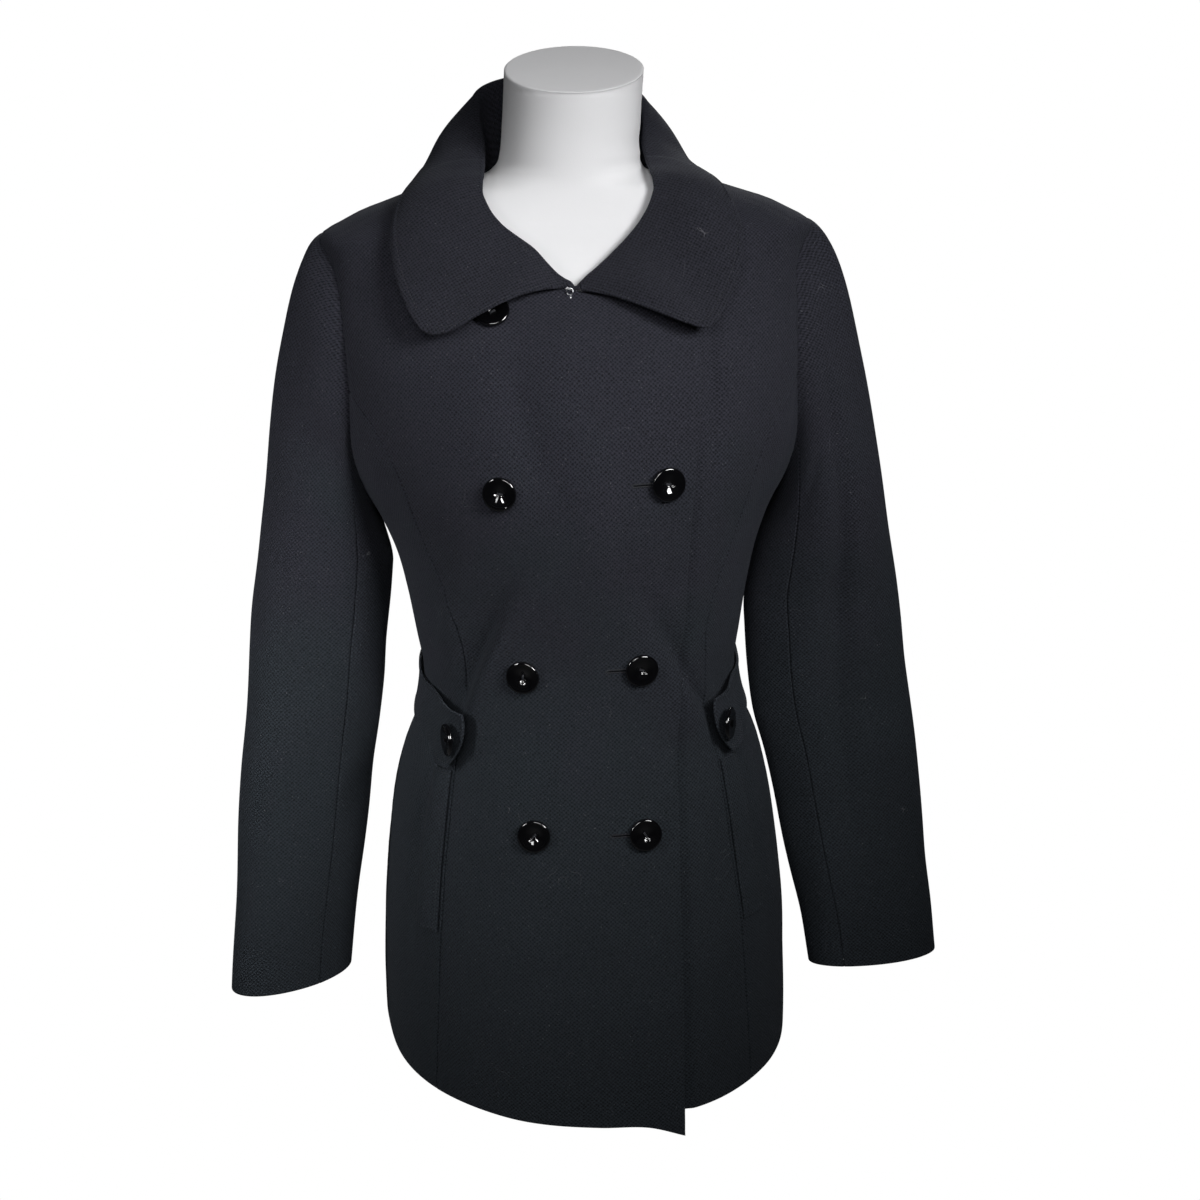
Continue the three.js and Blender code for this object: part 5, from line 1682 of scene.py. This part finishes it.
# The tab under its button, and just behind and ahead of it: angle and how far out.
TAB_SEAT = ((42.4, 15.0), (46.0, 11.6), (41.0, 20.4))
BUTTON = {"radius": 13.2, "around": 96, "face": 44, "rest": 26, "rim": 8, "hole": 2.1}
EYE = {"long": 5.4, "wide": 2.5, "deep": 0.5, "from": 0.55, "over": 0.6}
HOLE = {"radius": 0.75, "over": 0.45, "deep": 0.55}
STRAND = {"aside": 0.42, "radius": 0.42, "low": 1.1, "rise": 0.6, "around": 8, "steps": 15}
SHANK = {"line": [[0, 0, -2.8], [0, 0, -1.4], [0, 0, 0.05]], "radius": 1.5, "around": 12}


def button_rings():
    """A dished two-hole button in rings, its axis on Z and its back on z = 0."""
    run = np.append(0, np.cumsum(np.hypot(np.diff(BUTTON_PROFILE["r"]), np.diff(BUTTON_PROFILE["h"]))))
    rim = run[BUTTON["rim"]]
    s = np.concatenate(
        [np.linspace(0, rim, BUTTON["face"]), np.linspace(rim, run[-1], BUTTON["rest"])[1:]]
    )
    r, h = np.interp(s, run, BUTTON_PROFILE["r"]), np.interp(s, run, BUTTON_PROFILE["h"])
    for _ in range(2):
        h[1:-1] = (h[:-2] + 2 * h[1:-1] + h[2:]) / 4
        r[1:-1] = (r[:-2] + 2 * r[1:-1] + r[2:]) / 4
    phi = np.arange(BUTTON["around"]) * 2 * PI / BUTTON["around"]
    x, y = r[:, None] * np.cos(phi), r[:, None] * np.sin(phi)
    face = (np.arange(len(s)) < BUTTON["face"])[:, None]
    eye = (x / EYE["long"]) ** 2 + (np.abs(y) / EYE["wide"]) ** 1.6
    z = h[:, None] - face * EYE["deep"] * (1 - smooth((eye - EYE["from"]) / EYE["over"]))
    for centre in (-BUTTON["hole"], BUTTON["hole"]):
        d = np.hypot(x - centre, y)
        z = z - face * HOLE["deep"] * (1 - smooth((d - HOLE["radius"]) / HOLE["over"]))
    return np.stack([x, y, z], -1)


def button_parts():
    """A button, two strands of thread between its holes, and the shank under it."""
    p = button_rings()
    faces, index, following = ring_faces(*p.shape[:2])
    top, bottom = index.size, index.size + 1
    points = np.concatenate([p.reshape(-1, 3), [[0, 0, p[0, :, 2].mean()], [0, 0, 0]]])
    for k in range(BUTTON["around"]):
        faces.append([top, int(index[0, k]), int(following[0, k])])
        faces.append([bottom, int(following[-1, k]), int(index[-1, k])])
    t = np.linspace(-1, 1, STRAND["steps"])
    over = STRAND["low"] + STRAND["rise"] * (1 - t**4)
    strands = [
        tube(np.stack([t * BUTTON["hole"], shift + 0 * t, over], -1), STRAND["radius"], STRAND["around"])
        for shift in (-STRAND["aside"], STRAND["aside"])
    ]
    shank = tube(np.array(SHANK["line"]), SHANK["radius"], SHANK["around"])
    return [(points, faces), *strands, shank]


def tube(line, radius, around):
    """A round tube along a line, closed at both ends."""
    along = unit(np.gradient(line, axis=0))
    side = unit(np.cross(along, np.array([0.02, 0.9, 0.4])))
    up = np.cross(side, along)
    phi = np.arange(around) * 2 * PI / around
    circle = side[:, None] * np.cos(phi)[:, None] + up[:, None] * np.sin(phi)[:, None]
    faces, index, _ = ring_faces(len(line), around)
    faces += [index[0].tolist(), index[-1][::-1].tolist()]
    return (line[:, None] + circle * radius).reshape(-1, 3), faces


def facing_turn(normal, spin):
    """Rotation of a button whose axis lies along the normal."""
    turned = Vector((0, 0, 1)).rotation_difference(Vector(normal)).to_matrix()
    return np.array(turned @ Matrix.Rotation(math.radians(spin), 3, "Z"))


def front_place(x, z):
    """A point on the right front, and the way that its cloth faces."""
    theta, z = np.float64(angle_at_x(z, x)), np.float64(z)

    def surface(t, h):
        height = built_folds(t, h) + lap_lift(t, h)
        return section(t, h) + normal_of(section, t, h) * height[..., None]

    normal = normal_of(surface, theta, z)
    return surface(theta, z) + normal * float(hand_folds(theta, z)), normal


def tab_place(sign):
    """The button's place over a tab's end, and the way that it faces."""

    def at(angle, out):
        theta = np.float64(sign * math.radians(angle + TAB_SHORT[sign]))
        z = np.float64(TAB_BUTTON_LEVEL)
        return section(theta, z) + normal_of(section, theta, z) * out * TAB_SPRING[sign]

    place, behind, ahead = (at(*spot) for spot in TAB_SEAT)
    facing = unit(np.cross(np.array([0, 0, sign]), ahead - behind))
    return place + facing * TAB_BUTTON_STAND, facing


# A worked buttonhole runs from the button toward centre front.
BUTTONHOLE = {"from": -25.5, "to": -4.0, "steps": 44, "off": 0.1, "stitch": 1.0, "slant": 0.1}
BUTTONHOLE_END = {"at": [[-0.9, 0, 0.5], [-1.1, 0, 0], [-0.9, 0, -0.5]], "way": [0.8, 0, -0.8]}
# Sizes of the dark strip that paints the shade inside each buttonhole.
SLIT_SHADOW = {"half": 0.32, "least": 0.02, "out": 0.12, "in": 0.3, "square": 6}
# The hook's loop is a ring of bent wire that nearly closes, and its stem runs down under the collar.
HOOK_LOOP = {"from": 0.35, "to": 2.65, "steps": 40, "radius": 2.5, "twist": 0.25, "wire": 0.5, "around": 10}
HOOK_STEM = {"line": [[0.5, -0.3, -3.0], [0.6, -0.6, -5.0], [0.7, -0.8, -7.6]], "wire": 0.85, "around": 12}


def slit_shadow_strip(line):
    """Painted shade inside a buttonhole: a narrow dark strip along the line, closed behind."""
    share = np.linspace(-1, 1, len(line))
    half = SLIT_SHADOW["half"] * np.sqrt(np.clip(1 - share ** SLIT_SHADOW["square"], 0, 1)) + SLIT_SHADOW["least"]
    points = []
    for p, w in zip(line, half):
        points += [p + [0, -SLIT_SHADOW["out"], w], p + [0, -SLIT_SHADOW["out"], -w]]
    points += [p + [0, SLIT_SHADOW["in"], 0] for p in line]
    back = 2 * len(line)
    faces = []
    for k in range(len(line) - 1):
        a, b, c, d = 2 * k, 2 * k + 1, 2 * k + 3, 2 * k + 2
        faces += [[a, b, c, d], [a, d, back + k + 1, back + k], [b, back + k, back + k + 1, c]]
    faces += [[0, back, 1], [back - 2, back - 1, back + len(line) - 1]]
    return np.array(points), faces


class COAT_OT_buttons(bpy.types.Operator):
    """Add the buttons, the buttonholes and the hook at the neck"""

    bl_idname = "coat.buttons"
    bl_label = "Buttons and hook"

    def execute(self, context):
        parts = button_parts()
        points, faces = joined(parts)
        thread = np.arange(len(faces)) >= len(parts[0][1])
        scale = context.scene.coat_fittings.button_radius / (BUTTON["radius"] * MM)
        places = {name: (*front_place(x, z), spin) for name, (x, z, spin) in FRONT_BUTTONS.items()}
        for name, way in SIDES.items():
            places["tab_button_" + name] = (*tab_place(way["sign"]), TAB_BUTTON_SPIN)
        for node, (place, normal, spin) in places.items():
            seated = (points * scale) @ facing_turn(normal, spin).T + place + normal * BUTTON_STAND
            obj = mesh_object(node + "_fine", seated, faces)
            finish(obj, "button_plastic", material("button"), material("thread"))
            obj.data.polygons.foreach_set("material_index", thread.astype(np.int32))
            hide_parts(node)
        self.buttonholes()
        self.hook()
        return {"FINISHED"}

    def buttonholes(self):
        spots, ways, slit_shadows = [], [], []
        up = np.array([0, 0, 1.0])
        for x, z, _ in (FRONT_BUTTONS[f"front_button_{k}_inner"] for k in (2, 3, 4)):
            line = []
            for value in np.linspace(x + BUTTONHOLE["from"], x + BUTTONHOLE["to"], BUTTONHOLE["steps"]):
                p, n = front_place(value, z)
                uneven = ripple(section(angle_at_x(z, value), np.float64(z)))
                line.append(p + n * (uneven + BUTTONHOLE["off"]))
            line = np.array(line)
            for way in (-1, 1):
                spots.append(line + up * way * BUTTONHOLE["stitch"])
                ways.append(up + np.gradient(line, axis=0) * BUTTONHOLE["slant"])
            spots.append(line[0] + np.array(BUTTONHOLE_END["at"]))
            ways.append(np.array([[-1, 0, rise] for rise in BUTTONHOLE_END["way"]]))
            slit_shadows.append(slit_shadow_strip(line))
        spots, ways = np.concatenate(spots), np.concatenate(ways)
        stitched("buttonhole_stitching", "panel_cloth", spots, ways, *THREAD["buttonhole"])
        # A near-black strip in each buttonhole is painted shade.
        finish(mesh_object("buttonhole_slits", *joined(slit_shadows)), "panel_cloth", material("slit"))

    def hook(self):
        low, high = (np.array(corner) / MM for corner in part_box("hook"))
        centre = (low + high) / 2
        phi = np.linspace(HOOK_LOOP["from"] * PI, HOOK_LOOP["to"] * PI, HOOK_LOOP["steps"])
        across, up = HOOK_LOOP["radius"] * np.cos(phi), HOOK_LOOP["radius"] * np.sin(phi)
        loop = np.stack([across, HOOK_LOOP["twist"] * np.sin(2 * phi), up], -1)
        parts = [
            tube(line + centre, size["wire"], size["around"])
            for line, size in ((loop, HOOK_LOOP), (np.array(HOOK_STEM["line"]), HOOK_STEM))
        ]
        obj = mesh_object("hook_fine", *joined(parts))
        finish(obj, "hook_wire", material("wire"))
        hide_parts("hook")


FORM_GAP = 3.1
form = curves(
    table(
        "z half side front back square",
        [0, 122, 4, -86, 92, 2.1],
        [60, 131, 4, -92, 98, 2.1],
        [120, 141, 4, -101, 106, 2.15],
        [170, 148, 4, -109, 112, 2.15],
        [230, 146, 3, -119, 107, 2.15],
        [300, 131, 1, -119, 91, 2.15],
        [365, 112.5, 0, -111, 80, 2.15],
        [440, 124, 0, -119, 86, 2.1],
        [500, 146, 2, -134, 94, 2.1],
        [555, 166, 5, -136, 99, 2.15],
        [610, 171, 8, -127, 102, 2.3],
        [650, 174, 8, -108, 101, 2.5],
        [681, 177, 8, -84, 96, 2.7],
        [700, 179, 8, -72, 90, 2.8],
        [712, 178, 8, -66, 86, 2.8],
        [728 - FORM_GAP, 167, 8, -61, 81, 2.6],
        [735.5 - FORM_GAP, 156, 8, -57, 77.5, 2.45],
        [742.5 - FORM_GAP, 140.5, 8, -54, 72.5, 2.35],
        [748 - FORM_GAP, 126, 8, -52, 69, 2.3],
        [753 - FORM_GAP, 110, 8, -50.5, 65.5, 2.2],
        [757 - FORM_GAP, 95, 8, -49.5, 63, 2.15],
        [760.5 - FORM_GAP, 77, 8, -49, 61, 2.1],
        [761, 65, 8, -48.8, 59.5, 2.05],
        [767, 57.5, 7.5, -48.8, 58, 2],
        [777, 54.5, 4, -49, 57, 2],
        [800, 53.6, 2, -50, 55, 2],
        [842, 53.6, 0, -53, 53, 2],
    ),
    "z",
)
# The neck leans back and aside from its start to its top, where a cap is turned in over its edge.
NECK = {"start": 777.0, "top": 842.0, "lean": 0.279, "shift": 0.075, "x": 4.0, "ease": 755.0}
CAP = {"turn": 0.045, "rise": 0.9, "sink": 2.5, "flat": 1.6, "dome": 0.35}
CAP_SEAM = {"at": 826.0, "slope": -0.03, "from_x": -50.0, "deep": 0.5, "wide": 0.7}
CAP_SEAM_SHOWS = {"before_y": -10.0, "above_z": 790.0}
FORM_AROUND = 160
FORM_LEVELS = ((0, 700, 71), (700, 777, 52), (777, 839.5, 34))


def form_point(theta, z, shrink=1.0, sink=0.0):
    """The dress form's face; the shrink and the sink make its cap."""
    x, side, depth = oval(form, theta, z, form["square"](z))
    above = z - NECK["start"]
    t = np.clip(above / (NECK["top"] - NECK["start"]), 0, 1)
    x = x * shrink + NECK["x"] * smooth((z - NECK["ease"]) / (NECK["start"] - NECK["ease"]))
    x = x + NECK["shift"] * above * np.minimum(1, t * 4)
    y = (side - depth) * shrink
    return np.stack([x, y, z + NECK["lean"] * y * smooth(t) - sink], -1)


class COAT_OT_form(bpy.types.Operator):
    """Add the dress form"""

    bl_idname = "coat.form"
    bl_label = "Dress form"

    def execute(self, context):
        theta = np.arange(FORM_AROUND) * 2 * PI / FORM_AROUND
        levels = np.concatenate([np.linspace(*part)[:-1] for part in FORM_LEVELS[:-1]])
        levels = np.append(levels, np.linspace(*FORM_LEVELS[-1]))
        rings = [form_point(theta, np.full(FORM_AROUND, z)) for z in levels]
        top = np.full(FORM_AROUND, NECK["top"])
        for turn_in in np.linspace(0.12, 1, 8) * PI / 2:
            shrink = 1 - CAP["turn"] * (1 - math.cos(turn_in))
            rings.append(form_point(theta, top, shrink, CAP["sink"] - CAP["rise"] * math.sin(turn_in)))
        for shrink in np.linspace(0.93, 0.06, 22):
            rings.append(form_point(theta, top, shrink, CAP["flat"] - CAP["dome"] * (1 - shrink)))
        p = np.array(rings)
        x, y, z = p[..., 0], p[..., 1], p[..., 2]
        seam_z = CAP_SEAM["at"] + (x - CAP_SEAM["from_x"]) * CAP_SEAM["slope"]
        shown = (y < CAP_SEAM_SHOWS["before_y"]) * (z > CAP_SEAM_SHOWS["above_z"])
        groove = CAP_SEAM["deep"] * bell((z - seam_z) / CAP_SEAM["wide"]) * shown
        p = p - grid_normals(p) * groove[..., None]
        faces, index, following = ring_faces(len(p), FORM_AROUND, flip=True)
        base, crown = index.size, index.size + 1
        points = np.concatenate([p.reshape(-1, 3), [[0, 4, 0]], [p[-1].mean(axis=0)]])
        for k in range(FORM_AROUND):
            faces.append([base, int(following[0, k]), int(index[0, k])])
            faces.append([crown, int(index[-1, k]), int(following[-1, k])])
        obj = mesh_object("dress_form_fine", points, faces)
        finish(obj, "form_jersey", material("jersey"))
        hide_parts("dress_form")
        return {"FINISHED"}


class COAT_PT_sidebar(bpy.types.Panel):
    bl_idname = "COAT_PT_sidebar"
    bl_label = "Double-Breasted Coat"
    bl_space_type = "VIEW_3D"
    bl_region_type = "UI"
    bl_category = "Coat"

    def draw(self, context):
        for operator in OPERATORS:
            self.layout.operator(operator.bl_idname)
        for name, group in SETTINGS.items():
            box = self.layout.box()
            for field in group.__annotations__:
                box.prop(getattr(context.scene, name), field)


SETTINGS = {
    "coat_cloth": CoatClothSettings,
    "coat_fittings": CoatFittingSettings,
    "coat_stage": CoatStageSettings,
}
OPERATORS = (
    COAT_OT_stage,
    COAT_OT_body,
    COAT_OT_sleeves,
    COAT_OT_collar,
    COAT_OT_trim,
    COAT_OT_buttons,
    COAT_OT_form,
)


def register():
    for cls in (*SETTINGS.values(), *OPERATORS, COAT_PT_sidebar):
        bpy.utils.register_class(cls)
    for name, group in SETTINGS.items():
        setattr(bpy.types.Scene, name, bpy.props.PointerProperty(type=group))


def unregister():
    for name in SETTINGS:
        delattr(bpy.types.Scene, name)
    for cls in (COAT_PT_sidebar, *reversed(OPERATORS), *reversed(tuple(SETTINGS.values()))):
        bpy.utils.unregister_class(cls)


def main():
    register()
    for operator in OPERATORS:
        _, action = operator.bl_idname.split(".")
        getattr(bpy.ops.coat, action)()


if __name__ == "__main__":
    main()
